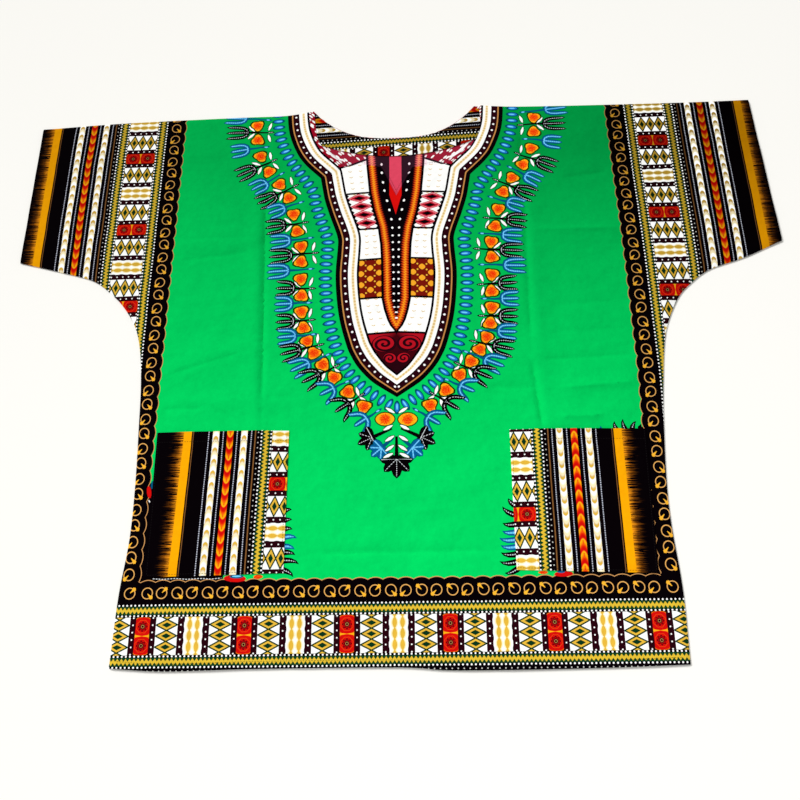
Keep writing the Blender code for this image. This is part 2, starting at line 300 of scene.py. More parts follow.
lay = {
    "panelWall": 0.0012, "seamGap": 0.0003, "trimWall": 0.001,
    "swell": 0.0013, "swellReach": 0.070, "neckPlateau": 0.009, "neckFade": 0.045,
    "cloth": 0.0008,
    # depth and reach where a sewn edge rolls under, at the seams and at the neck, and the lowest it goes
    "seamRoll": (0.00095, 0.0045), "neckRoll": (0.0003, 0.004), "lowest": -0.00105,
    # hem and sleeve ends lift a little: height, reach, and the size and height of their waves
    "openLift": (0.00035, 0.03), "openWave": (0.04, 0.0007, 5.0),
    # size, height and seed of the unevenness, and how far in from an edge it starts
    "uneven": ((0.06, 0.0009, 3.1), (0.022, 0.00030, 7.7)), "unevenFrom": 0.03,
    # round top of a crease (mm), and how far from a seam it is full
    "creaseTop": 0.7, "creaseFrom": 0.02,
    # extra points: spacing along a crease, heights it takes (mm), and rows across as shares of its reach
    "creaseStep": 0.0048, "creaseLeast": 0.85, "creaseMost": 2.5,
    "rowsMost": (-1.25, -0.42, 0, 0.42, 1.25), "rowsLeast": (-0.6, 0, 0.6),
    # a ridge fades towards both ends: over this share of its length, and what is left of it there
    "ridgeFade": (0.25, 0.2),
    # broad folds, as in the solid: from x, y to x, y, half width, height (mm)
    "folds": (
        (-198, 330, -178, -330, 15, 2.4), (194, 330, 183, -330, 15, 2.2), (-335, -74, -120, -60, 17, 1.6),
        (190, -97, 335, -86, 17, 1.7), (-320, -27, -200, 11, 16, 1.8), (205, -56, 330, -48, 15, 1.5),
        (-320, 176, -190, 184, 17, 1.4), (200, 173, 330, 182, 17, 1.5), (-110, -195, 130, -188, 18, 1.3),
        (-420, 150, -330, 60, 18, 2.2), (425, 150, 335, 55, 18, 2.3), (-470, 190, -452, 350, 15, 1.6),
        (462, 200, 470, 360, 15, 1.5),
    ),
    # sharp press lines and creases: from x, y to x, y, reach, height (mm)
    "creases": (
        (-196, 395, -179, -112, 5.2, -4.1), (190, 395, 182, -14, 5.2, -3.4), (182, -14, 190, -116, 5.2, -3.9),
        (-178, -118, -176, -300, 4.5, -0.6), (188, -118, 184, -300, 4.5, -0.5),
        (-123, -270, 126, -269, 4.5, -2.2), (190, 187, 318, 186, 4.6, 2.5), (217, -56, 320, -49, 3.2, 1.9),
        (210, -97, 270, -95, 3.0, 1.7),
        (120, -53, 186, -54, 4.5, -1.9), (248, 275, 312, 284, 5.5, -1.9), (188, -15, 318, -9, 3.8, -1.4),
        (-312, -26, -208, 7, 3.8, -1.5), (-316, -74, -258, -75, 3.8, -1.7), (-262, -66, -214, -92, 4.4, -1.2),
        (-178, -60, -136, -61, 4.0, -1.2), (-318, 186, -196, 188, 4.5, -0.9),
        (-317, 150, -208, 164, 4.8, -1.3), (-312, 82, -214, 90, 4.8, 0.8), (205, 66, 318, 72, 6.0, -1.2),
        (205, 26, 322, 30, 4.8, -1.0),
        (-310, 40, -200, 26, 5.5, -0.6), (-290, 300, -222, 290, 5.5, -0.7), (-104, -180, -52, -168, 6.0, 0.8),
        (30, -150, 112, -142, 6.0, -0.7), (-60, -222, 70, -216, 6.0, 0.6), (240, 110, 306, 122, 5.5, 0.7),
        (-420, 140, -352, 52, 4, 0.5), (-405, 170, -345, 92, 5, -0.45), (428, 136, 352, 44, 4, 0.55),
        (412, 168, 350, 96, 5, -0.45), (-505, 190, -480, 372, 5, 0.55), (-425, 200, -430, 380, 6, -0.4),
        (500, 200, 506, 380, 5, 0.5), (430, 196, 436, 384, 6, -0.4), (-25, -150, 22, -330, 6, -0.4),
        (-70, 60, -64, 200, 5, 0.3), (72, 40, 66, 190, 5, 0.3), (-230, -380, -212, -320, 5, 0.5),
        (-90, -395, -84, -330, 5, 0.45), (58, -398, 50, -322, 5, 0.5), (205, -396, 214, -330, 5, 0.45),
        (300, -392, 292, -322, 5, 0.5), (-318, -388, -306, -318, 5, 0.45), (-150, -340, 40, -352, 6, 0.35),
    ),
}


def ridge(points, x0, y0, x1, y1, halfWidth, height, sharp=0):
    # a ridge, or a trough where the height is negative, faded at both ends; sharp is its round top (mm)
    start = np.array((x0 * mm, y0 * mm))
    run = np.array((x1 * mm, y1 * mm)) - start
    length = float(np.linalg.norm(run))
    along = (points - start) @ run / length
    across = (points - start) @ np.array((-run[1], run[0])) / length
    share, left = lay["ridgeFade"]
    ends = easeIn(np.minimum(along, length - along) / (share * length) + left)
    if sharp:
        return height * mm * np.exp((sharp - np.hypot(across / mm, sharp)) / halfWidth) * ends
    return height * mm * np.exp(-(across / (halfWidth * mm)) ** 2) * ends


def ripple(points, size, height, seed):
    # soft unevenness of cloth that was folded and put down by hand
    return np.array([noise.noise((x / size, y / size, seed)) for x, y in points]) * height


def creaseSpots():
    # extra points where a crease is finer than the rest of the sheet
    spots = []
    for x0, y0, x1, y1, halfWidth, height in lay["creases"]:
        start, run = np.array((x0, y0), float) * mm, np.array((x1 - x0, y1 - y0), float) * mm
        normal = np.array((-run[1], run[0])) / np.linalg.norm(run)
        rows = lay["rowsMost"] if abs(height) >= lay["creaseMost"] else lay["rowsLeast"]
        if abs(height) >= lay["creaseLeast"]:
            for share in np.arange(0, 1, lay["creaseStep"] / np.linalg.norm(run)):
                spots += [tuple(start + run * share + normal * halfWidth * mm * row) for row in rows]
    return spots


def frontUnder(points):
    # height of the front's underside
    toSeam = nearest(points, seams.values())
    toOpen = nearest(points, (hemLine, leftEnd, rightEnd))
    toNeck = nearest(points, (frontNeck,))
    slack = easeIn(np.minimum(toSeam, toOpen) / lay["swellReach"])
    rise = lay["swell"] * slack
    for fold in lay["folds"]:
        rise = rise + slack * ridge(points, *fold)
    near = easeIn(1 - (toNeck - lay["neckPlateau"]) / lay["neckFade"])
    rise = np.maximum(rise, (lay["trimWall"] + lay["seamGap"]) * near)
    for crease in lay["creases"]:
        rise = rise + easeIn(toSeam / lay["creaseFrom"]) * ridge(points, *crease, sharp=lay["creaseTop"])
    inner = easeIn(np.minimum(np.minimum(toSeam, toOpen), toNeck) / lay["unevenFrom"])
    large, small = [ripple(points, *figures) for figures in lay["uneven"]]
    rise = rise + inner * (large + small)
    lift, reach = lay["openLift"]
    rise = rise + easeIn(1 - toOpen / reach) * (lift + ripple(points, *lay["openWave"]))
    for toEdge, (depth, reach) in ((toSeam, lay["seamRoll"]), (toNeck, lay["neckRoll"])):
        rise = rise - depth * easeIn(1 - toEdge / reach)
    return lay["panelWall"] + lay["seamGap"] + np.maximum(rise, lay["lowest"])


# ---- the print: where each part of the pattern lies (mm, mirrored left and right) ----

neckPanel = {
    # half width of the printed neck panel at each height, from above the shoulder down to its point
    "edge": (
        (166, 440), (164, 396), (159.5, 364), (148, 332), (134.5, 310), (110.5, 284.5), (107.5, 267),
        (103.5, 246), (95.5, 219), (84, 184), (83.2, 164), (85.4, 125), (83.4, 87), (78.3, 50), (68.6, 13),
        (61.3, -5), (51.5, -21.5), (35.5, -39.5), (19.5, -51.5), (0, -64.5),
    ),
    "edgeStep": 3.0,
    # three points of its sharp corner, and how near the middle one the edge turns (m)
    "corner": ((134.5, 310), (110.5, 284.5), (103.5, 246)), "turning": 0.003,
    "paleLine": ((116.4, 354), (107, 340.5), (97, 328.8), (86, 320.4), (75, 316)),
    "paleWide": (0.8, 2.0, 2.3, 2.0, 0.5),
    # ring of drops round the panel: how far out, pitch, half length and width, points, how pointed
    "dropOut": 14.6, "dropPitch": 11.7, "dropLong": 10.0, "dropWide": 4.3, "dropShape": (14, 0.22),
}

sprigs = {
    # root x, root y, tip x, tip y on the left half; dark and blue ones take turns
    "rows": (
        (-188, 394, -262, 402), (-183, 371, -258, 372), (-189, 346, -249, 336), (-176, 322, -238, 292),
        (-164, 298, -214, 267), (-142, 276, -204, 242), (-133, 246, -187, 226), (-125, 210, -190, 202),
        (-117, 184, -182, 177), (-109, 159, -182, 153), (-115, 133, -184, 129), (-112, 101, -170, 103),
        (-116, 79, -171, 78), (-111, 53, -168, 50), (-108, 31, -165, 27), (-98, 16, -160, 1),
        (-88, 2, -145, -24), (-76, -15, -129, -41), (-61, -38, -104, -59), (-42, -57, -83, -84),
        (-20, -80, -57, -104),
    ),
    # lobed leaves at the foot: root, tip, share of the length that is leaf, blue or not
    "foot": (
        (-1, -119, -1, -176, 0.46, False), (-7, -108, -52, -129, 0.42, False),
        (5, -108, 50, -130, 0.42, False), (-5, -121, -34, -146, 0.46, True), (4, -121, 33, -146, 0.46, True),
    ),
    # loose petals at the foot: x, y, turn
    "petals": (
        (-9, -83, -32), (8, -83, 32), (-12, -107, 28), (10, -107, -28), (-10, -122, 32), (8, -122, -32),
        (-10, -135, 35), (7, -135, -35), (-12, -145, 25), (9, -145, -25),
    ),
    "petal": (8.2, 3.3), "petalShape": (12, 0.6),
    # a dark sprig's white petals: place along it, how far out, and lean; they close up by a share lower down
    "petalNear": (8.0, 10.6, 106), "petalFar": (0.475, 6.8, 46), "petalCloser": 0.33,
    "footFlowers": ((-16, -95), (14, -96)),
    "footFlower": (12.5, 8.9), "footRim": (14.0, 10.4), "footShape": (16, 0.2),
    "spread": 10.0, "blueSpread": 0.96, "fingerWide": {True: 3.0, False: 3.6}, "palm": 0.55, "swing": 0.6,
    # lower down the sprigs open out: from this height, over this reach, by this share
    "openFrom": 25, "openReach": 70, "open": 0.75, "openShorter": 0.12,
    # stalk: its first points, where it bends as a share of the length, how far into the palm, half widths
    "stalkStart": (0, 3, 7, 11), "stalkBend": 0.36, "stalkInto": (-2, 3),
    "stalkWide": (0.3, 1.7, 2.1, 1.2, 1.5, 2.0, 3.4), "bud": (6.5, 0, 2.7, 1.2), "budLine": (3, 9.5, 0.5),
    # fingers: share of the length, share of the spread, and half widths on one of the drawn width
    "drawnWide": 3.0,
    "middle": ((0.0, 0), (0.3, 0), (0.62, 0), (0.86, 0.02), (1.0, 0.05)),
    "middleWide": (2.4, 2.9, 2.8, 1.9, 0.1),
    "outer": ((0.0, 0.05), (0.05, 0.52), (0.20, 0.84), (0.42, 0.97), (0.66, 1.0), (0.86, 1.03), (0.99, 1.12)),
    "outerWide": (2.6, 3.0, 3.0, 3.0, 2.7, 1.8, 0.1),
    # lobes: turn and reach of each, shares along it, half widths on a leaf of the given size
    "lobes": ((-88, 0.84), (88, 0.84), (-44, 0.90), (44, 0.90), (0, 1.0)), "lobeSize": 26,
    "lobeShares": (0.0, 0.3, 0.6, 0.85, 1.0), "lobeWide": (4.0, 6.6, 6.8, 4.4, 0.1),
    "lobeStalk": (1.7, 2.0, 2.8),
    # dark edge round a finger: at its tip and elsewhere; light line: half widths, where its end is
    "edge": (0.25, 0.95), "line": {True: (0.9, 0.4), False: (0.42, 0.42)}, "lineEnd": (0.35, 0.65),
    # flower heads: size, place along the sprigs, room left, green rim
    "flower": 8.7, "flowerAt": 0.33, "flowerRoom": 2.0, "rim": 2.3,
    # a flower head's points, its three corners and its small unevenness
    "headShape": (16, 0.17, 0.04),
}
leafInks = {
    True: {"leaf": "leafBlue", "stalk": "stalkBlue", "line": "lineBlue"},
    False: {"leaf": "leafBlack", "stalk": "leafBlack", "line": "lineWhite"},
}

printShapes = []    # each shape: outline in metres, ink, and the band function that its ink is drawn from


def printShape(points, ink, band=None):
    return {"outline": [(x * mm, y * mm) for x, y in points], "ink": ink, "band": band}


def addShape(points, ink, band=None):
    printShapes.append(printShape(points, ink, band))


def ribbon(line, halfWidths):
    # a strip with its own half width at each point of its middle line
    line = np.array(line, dtype=float)
    aside = normals(np.gradient(line, axis=0)) * np.array(halfWidths)[:, None]
    return [tuple(p) for p in line + aside] + [tuple(p) for p in (line - aside)[::-1]]


def heading(root, tip):
    return math.atan2(tip[1] - root[1], tip[0] - root[0])


def placed(points, root, tip):
    # from a motif's own drawing, root at 0 and axis along x, to its place on the cloth
    c, s = math.cos(heading(root, tip)), math.sin(heading(root, tip))
    return [(root[0] + (x * c - y * s), root[1] + (x * s + y * c)) for x, y in points]


def oval(x, y, long, wide, angle=0.0, count=10, sharp=0.0):
    # an ellipse, or a pointed petal where sharp is more than 0
    c, s = math.cos(math.radians(angle)), math.sin(math.radians(angle))
    points = []
    for k in range(count):
        t = 2 * math.pi * k / count
        a, b = long * math.cos(t), wide * math.sin(t) * (1 - sharp + sharp * abs(math.sin(t)))
        points.append((x + a * c - b * s, y + a * s + b * c))
    return points


def flowerHead(x, y, size, angle):
    # rounded and three-sided, with one corner towards the angle
    count, corners, uneven = sprigs["headShape"]
    points = []
    for k in range(count):
        t = 2 * math.pi * k / count
        r = size * (1 + corners * math.cos(3 * (t - angle)) + uneven * math.sin(5 * t + x))
        points.append((x + r * math.cos(t), y + r * math.sin(t)))
    return points


def turnedBand(x, y, angle=0.0):
    # a band function: across and along a motif, from its own middle or root
    c, s = math.cos(angle), math.sin(angle)

    def band(points):
        px, py = points[:, 0] - x * mm, points[:, 1] - y * mm
        return np.stack([py * c - px * s, px * c + py * s], 1)
    return band


def addPetal(x, y, angle):
    petal = oval(x, y, *sprigs["petal"], angle, *sprigs["petalShape"])
    addShape(petal, "seed", turnedBand(x, y, math.radians(angle)))


def addLeaf(fingers, stalk, stalkWide, root, tip, blue):
    # the fingers' dark edges on a blue leaf, the stalk, then all bodies, then a light line along each
    leaf, band = leafInks[blue], turnedBand(*root, heading(root, tip))
    atTip, elsewhere = sprigs["edge"]
    for path, widths in fingers if blue else ():
        wider = [w + (atTip if w < 1 else elsewhere) for w in widths]
        addShape(placed(ribbon(path, wider), root, tip), "darkEdge")
    addShape(placed(ribbon(stalk, stalkWide), root, tip), leaf["stalk"])
    for path, widths in fingers:
        addShape(placed(ribbon(path, widths), root, tip), leaf["leaf"])
    half, last = sprigs["line"][blue]
    for path, widths in fingers:
        end = tuple(sprigs["lineEnd"][0] * np.array(path[-1]) + sprigs["lineEnd"][1] * np.array(path[-2]))
        line = ribbon(path[:-1] + [end], [half] * (len(path) - 1) + [last])
        addShape(placed(line, root, tip), leaf["line"], band)


def lowness(root):
    # 0 beside the panel, up to 1 below it
    return min(1.0, max(0.0, (sprigs["openFrom"] - root[1]) / sprigs["openReach"]))


def addSprig(root, tip, blue, swing):
    # stalk with a bud at its root, and three fingers with a light line along each
    length = math.dist(root, tip)
    fan = lowness(root) * sprigs["open"]
    spread = sprigs["spread"] * (sprigs["blueSpread"] if blue else 1.0)
    palm = sprigs["palm"]
    stalk = [(x, 0) for x in sprigs["stalkStart"]] + [(sprigs["stalkBend"] * length, swing)]
    stalk += [(palm * length + x, 0) for x in sprigs["stalkInto"]]
    drawings = [(sprigs["middle"], sprigs["middleWide"], 1)]
    for side in (-1, 1):
        opened = [(a, side * b * (1 + fan * a)) for a, b in sprigs["outer"]]
        drawings.append((opened, sprigs["outerWide"], 1 - sprigs["openShorter"] * fan))
    fingers = []
    for middle, widths, shorter in drawings:
        path = [((palm + (1 - palm) * a * shorter) * length, b * spread) for a, b in middle]
        fingers.append((path, [w * sprigs["fingerWide"][blue] / sprigs["drawnWide"] for w in widths]))
    addLeaf(fingers, stalk, sprigs["stalkWide"], root, tip, blue)
    if blue:
        addShape(placed(oval(*sprigs["bud"], 0, 8), root, tip), "dropLight")
    else:
        start, end, half = sprigs["budLine"]
        line = placed(ribbon([(start, 0), (end, 0)], (half, half)), root, tip)
        addShape(line, "lineWhite", turnedBand(*root, heading(root, tip)))


def addSprigPetals(root, tip):
    # two pairs of white petals beside a dark sprig's stalk
    closer = 1 - sprigs["petalCloser"] * lowness(root)
    turned = math.degrees(heading(root, tip))
    share, farOut, farLean = sprigs["petalFar"]
    for side in (-1, 1):
        for along, out, lean in (sprigs["petalNear"], (share * math.dist(root, tip), farOut, farLean)):
            x, y = placed([(along, out * side * closer)], root, tip)[0]
            addPetal(x, y, turned + lean * side)


def addLobedLeaf(root, tip, share, blue):
    # stalk and a leaf of five broad lobes, as long as the share of the whole
    length = math.dist(root, tip)
    size = share * length
    foot = length - size
    lobes = []
    for turn, reach in sprigs["lobes"]:
        c, s = math.cos(math.radians(turn)), math.sin(math.radians(turn))
        far = size * reach
        path = [(foot + far * part * c, far * part * s) for part in sprigs["lobeShares"]]
        lobes.append((path, [w * size / sprigs["lobeSize"] for w in sprigs["lobeWide"]]))
    addLeaf(lobes, [(0, 0), (0.2 * length, 0), (foot + 1, 0)], sprigs["lobeStalk"], root, tip, blue)


def addFlower(first, second, darkFirst):
    # one flower head in the gap between two sprigs, its corner towards the dark one
    spots = []
    for row in (first, second):
        root, tip = np.array(row[:2], float), np.array(row[2:], float)
        spots.append(root + sprigs["flowerAt"] * (tip - root))
    x, y = (spots[0] + spots[1]) / 2
    gap = float(np.linalg.norm(spots[0] - spots[1]))
    size = min(sprigs["flower"], gap / 2 - sprigs["flowerRoom"])
    towards = heading((x, y), spots[0] if darkFirst else spots[1])
    addShape(flowerHead(x, y, size + sprigs["rim"], towards), "outlineGreen")
    addShape(flowerHead(x, y, size, towards), "flowerOrange", turnedBand(x, y))


bendRow = neckPanel["edge"].index(neckPanel["corner"][1])
lowerEdge = smoothLine(neckPanel["edge"][bendRow:][::-1], neckPanel["edgeStep"])
upperEdge = smoothLine(neckPanel["edge"][:bendRow + 1][::-1], neckPanel["edgeStep"])
neckEdge = [(x * mm, y * mm) for x, y in lowerEdge[:-1] + upperEdge]
edgeLine = np.array(neckEdge)
neckLoop = neckEdge + [(-x, y) for x, y in neckEdge[::-1]][:-1]
bendAlong = float(alongLine(np.array([neckPanel["corner"][1]]) * mm, edgeLine)[1][0])


def neckBand(points):
    # how far in from the neck panel's edge, and how far along it from its point
    folded = np.stack([np.abs(points[:, 0]), points[:, 1]], 1)
    gap, along = alongLine(folded, edgeLine)
    upper, bend, lower = np.array(neckPanel["corner"]) * mm
    sides = []
    for start, end in ((upper, bend), (bend, lower)):
        run = (end - start) / np.linalg.norm(end - start)
        sides.append((folded - start) @ np.array((run[1], -run[0])))
    inside = np.maximum(*sides)
    turning = (np.abs(along - bendAlong) < neckPanel["turning"]) & (inside > 0)
    return np.stack([np.where(turning, np.minimum(gap, inside), gap), along], 1)


sideBorder = {
    "start": 318, "inner": 314, "ringEnd": 347.4, "ringStretch": 37.6 / 41, "outer": 575,
    "top": 450, "bottom": -440,
    "ladderPhase": {"left": 142.5, "right": 148.5}, "ringPhase": {"left": 25.0, "right": 29.0},
    "hemTop": -298.6, "hemScale": 0.985, "step": 5,
    # the right border leans in towards the hem, and out towards the shoulder
    "lean": 2.3, "leanTop": -30, "leanReach": 90, "shift": 2.8, "shiftFrom": 120, "shiftReach": 260,
    # where each border ends above the hem's, and the short run of its scalloped line alone
    "corner": {"left": -302.1, "right": -300.4}, "lineInner": 318.7, "lineTop": -299.6,
    # dark ground in the corners, below the hem's top: x from and to, then y to and from
    "darkFrom": {"left": 322.9, "right": 319.0}, "darkTo": 352, "darkLow": 6, "square": (321.4, 28.6, 5.8),
    # ground of the one ring in each corner, how far it stands aside, and where the mitre starts
    "ringGround": (323.9, 340.6, 27, 10), "ringAside": 2.5, "mitre": 29.4,
}


def sideBand(side, rings):
    def band(points):
        phase = sideBorder["ringPhase" if rings else "ladderPhase"][side] * mm
        stretch = sideBorder["ringStretch"] if rings else 1
        lean = easeIn((sideBorder["leanTop"] * mm - points[:, 1]) / (sideBorder["leanReach"] * mm))
        rise = easeIn((points[:, 1] - sideBorder["shiftFrom"] * mm) / (sideBorder["shiftReach"] * mm))
        lean = (lean * sideBorder["lean"] + rise * sideBorder["shift"]) * mm * (side == "right")
        return np.stack([np.abs(points[:, 0]) + lean, (points[:, 1] - phase) * stretch], 1)
    return band


def hemBand(points):
    # the hem's print is mirrored about the middle of the shirt
    across = sideBorder["start"] * mm + sideBorder["hemScale"] * (sideBorder["hemTop"] * mm - points[:, 1])
    return np.stack([across, np.abs(points[:, 0])], 1)


def cornerBand(points):
    # the one ring at each corner stands a little apart from its row
    band = hemBand(points)
    band[:, 1] -= sideBorder["ringAside"] * mm
    return band


def addBorders():
    inner, ringEnd, outer = sideBorder["inner"], sideBorder["ringEnd"], sideBorder["outer"]
    hemTop, top = sideBorder["hemTop"], sideBorder["top"]

    def addBlock(way, x0, x1, y0, y1, ink, band=None):
        addShape(block(x0 * way, x1 * way, y0, y1, sideBorder["step"]), ink, band)

    for way in (-1, 1):
        addBlock(way, 0, outer, sideBorder["bottom"], hemTop, "border", hemBand)
    for side, way in (("left", -1), ("right", 1)):
        corner = sideBorder["corner"][side]
        lineTop = max(corner, sideBorder["lineTop"])
        addBlock(way, inner, ringEnd, lineTop, top, "border", sideBand(side, True))
        addBlock(way, sideBorder["lineInner"], ringEnd, corner, lineTop, "border", sideBand(side, True))
        darkFrom, darkTo = sideBorder["darkFrom"][side], sideBorder["darkTo"]
        addBlock(way, darkFrom, darkTo, hemTop - sideBorder["darkLow"], corner, "leafBlack")
        start, low, high = sideBorder["square"]
        addBlock(way, start, darkTo, hemTop - low, hemTop - high, "leafBlack")
        start, end, low, high = sideBorder["ringGround"]
        addBlock(way, start, end, hemTop - low, hemTop - high, "border", cornerBand)
        near = hemTop - sideBorder["mitre"]
        far = near - (outer - ringEnd)
        beyond = [(ringEnd * way, near), (outer * way, far), (outer * way, top), (ringEnd * way, top)]
        addShape(closedLoop(beyond, sideBorder["step"]), "border", sideBand(side, False))


def addDrops():
    # drops round the neck panel, standing out from its edge
    pitch, bend = neckPanel["dropPitch"], neckPanel["corner"][1]
    long, wide = neckPanel["dropLong"], neckPanel["dropWide"]
    knots = [spot for spot in neckPanel["edge"][::-1] if spot != bend]
    line = np.array(smoothLine(knots, neckPanel["edgeStep"]))
    out = -normals(np.gradient(line, axis=0))
    out[0] = (0, -1)
    ring = line + out * neckPanel["dropOut"]
    lengths = lengthsAlong(ring)
    spots = np.arange(int(lengths[-1] // pitch)) * pitch
    for k, ((x, y), (nx, ny)) in enumerate(zip(readOff(spots, lengths, ring), readOff(spots, lengths, out))):
        for way in (-1, 1) if k else (1,):
            angle = math.degrees(math.atan2(ny, way * nx))
            drop = oval(way * x, y, long, wide, angle, *neckPanel["dropShape"])
            addShape(drop, "drop", turnedBand(way * x, y, math.radians(angle)))


def addLeafRing():
    for way in (1, -1):
        rows = [(x0 * way, y0, x1 * way, y1) for x0, y0, x1, y1 in sprigs["rows"]]
        for row in rows[1::2]:
            addSprigPetals(row[:2], row[2:])
        for k, (first, second) in enumerate(zip(rows, rows[1:])):
            addFlower(first, second, k % 2 == 1)
        for k, row in enumerate(rows):
            addSprig(row[:2], row[2:], k % 2 == 0, sprigs["swing"] if k % 3 else -sprigs["swing"])
    for row in sprigs["foot"]:
        addLobedLeaf(row[:2], row[2:4], *row[4:])
    for x, y in sprigs["footFlowers"]:
        addShape(oval(x, y, *sprigs["footRim"], 0, *sprigs["footShape"]), "outlineGreen")
        addShape(oval(x, y, *sprigs["footFlower"], 0, *sprigs["footShape"]), "flowerOrange", turnedBand(x, y))
    for figures in sprigs["petals"]:
        addPetal(*figures)


medallions = {
    # single leaves that show past the pockets: root x, root y, tip x, tip y, blue or not
    "leaves": (
        (150, -214, 139, -205, False), (150, -226, 131, -216, False), (150, -236, 131, -237, False),
        (150, -246, 130, -247, True), (150, -255, 126, -256, True), (150, -264, 127, -265, True),
        (150, -273, 127, -274, False), (150, -282, 125, -285, False), (150, -289, 131, -299, False),
        (-150, -220, -135, -213, False), (-150, -232, -134, -226, False), (-150, -242, -133, -238, False),
        (-150, -252, -127, -249, True), (-150, -262, -129, -263, True), (-150, -270, -128, -270, False),
        (-150, -280, -123, -281, False), (-150, -289, -129, -297, False),
        (272, -124, 263, -111, True), (290, -124, 281, -105, False), (301, -124, 292, -102, False),
        (304, -124, 309, -104, False),
    ),
    # one leaf: shares of its length and of its bend, half widths, and those of the light line in it
    "leaf": ((0, 0), (0.3, 1), (0.6, 1), (0.85, 0.3), (1, -1)), "bend": 0.08,
    "leafWide": (3.4, 3.9, 3.3, 1.8, 0.1),
    "line": {True: (0.5, 1.3, 1.1, 0.2), False: (0.4, 0.7, 0.6, 0.2)},
    # dark ground beside and below the pockets
    "dark": (
        ((-317, -176), (-313, -176), (-313, -290), (-217, -290), (-217, -299.8), (-317, -299.8)),
        ((317, -108), (312, -112), (312, -290), (214, -290), (214, -299.8), (317, -299.8)),
    ),
    "darkStep": 6,
    "patches": (
        ((202, -299.4, 12, 3.4, 2), "redInk"), ((199, -296.6, 5, 1.8, 0), "leafBlue"),
        ((177, -297.4, 6, 2.0, 0), "flowerOrange"), ((-202, -299.6, 14.5, 4.4, -3), "redInk"),
        ((-200, -297.2, 9, 2.4, 0), "stalkBlue"), ((-200, -296.8, 6, 1.2, 0), "dropLight"),
        ((-173, -298, 6, 2.6, 0), "flowerOrange"), ((-320.5, -188, 3.0, 8.5, 12), "redInk"),
        ((-317, -178.5, 2.2, 5.6, 0), "stalkBlue"), ((-319, -200, 0.8, 2.0, 30), "seedWhite"),
    ),
    "dotted": (
        (-306, -298.4), (-292, -299.4), (-276, -298.6), (-262, -299.8), (-246, -298.9), (-232, -299.8),
        (-219, -298.6),
    ),
    "dottedHalf": 0.52,
}


def addMedallions():
    for loop in medallions["dark"]:
        addShape(closedLoop(list(loop), medallions["darkStep"]), "leafBlack")
    for x0, y0, x1, y1, blue in medallions["leaves"]:
        root, tip = (x0, y0), (x1, y1)
        length = math.dist(root, tip)
        bend = medallions["bend"] * length
        path = [(a * length, b * bend) for a, b in medallions["leaf"]]
        addShape(placed(ribbon(path, medallions["leafWide"]), root, tip), leafInks[blue]["leaf"])
        line = placed(ribbon(path[:-1], medallions["line"][blue]), root, tip)
        addShape(line, leafInks[blue]["line"], turnedBand(x0, y0, heading(root, tip)))
    for figures, ink in medallions["patches"]:
        addShape(oval(*figures), ink, turnedBand(*figures[:2]))
    dotted = medallions["dotted"]
    addShape(ribbon(dotted, (medallions["dottedHalf"],) * len(dotted)), "dotted", turnedBand(0, 0))


addBorders()
addShape([(x / mm, y / mm) for x, y in neckLoop], "ornament", neckBand)
addDrops()
addLeafRing()
backShapes = list(printShapes)
for way in (-1, 1):
    pale = ribbon([(way * x, y) for x, y in neckPanel["paleLine"]], neckPanel["paleWide"])
    backShapes.append(printShape(pale, "seedWhite"))
addMedallions()
frontShapes = list(printShapes)
print("print drawn:", len(frontShapes), "shapes")


# ---- from outline and print to a sheet of cloth ----

def turnedLeft(loop):
    area = sum(x0 * y1 - x1 * y0 for (x0, y0), (x1, y1) in zip(loop, loop[1:] + loop[:1]))
    return list(loop) if area > 0 else list(loop)[::-1]


def cutOut(outline, shapes, spacing, loose=()):
    # triangles inside the outline, split along every shape of the print, with the top shape of each
    points, loops = [], []
    for loop in [outline] + [shape["outline"] for shape in shapes]:
        loop = turnedLeft(loop)
        loops.append(list(range(len(points), len(points) + len(loop))))
        points.extend(loop)
    near = kdtree.KDTree(len(points))
    for index, (x, y) in enumerate(points):
        near.insert((x, y, 0), index)
    near.balance()
    low = np.array(outline).min(0)
    high = np.array(outline).max(0)
    rise = spacing * math.sqrt(3) / 2
    extra = list(loose)
    for row in range(int((high[1] - low[1]) / rise) + 1):
        y = low[1] + row * rise
        for x in np.arange(low[0] + (spacing / 2 if row % 2 else 0), high[0], spacing):
            extra.append((float(x), float(y)))
    for x, y in extra:
        if near.find((x, y, 0))[2] > cut["clear"] * spacing:
            points.append((x, y))
    insideOnly = 1
    result = delaunay_2d_cdt(points, [], loops, insideOnly, 1e-6, True)
    flat = np.array([tuple(point) for point in result[0]])
    faces, tops = [], []
    for face, owners in zip(result[2], result[5]):
        if 0 in owners:
            faces.append(tuple(face))
            tops.append(max(owners))
    return flat, np.array(faces), np.array(tops)


# ---- inks and cloth finish ----

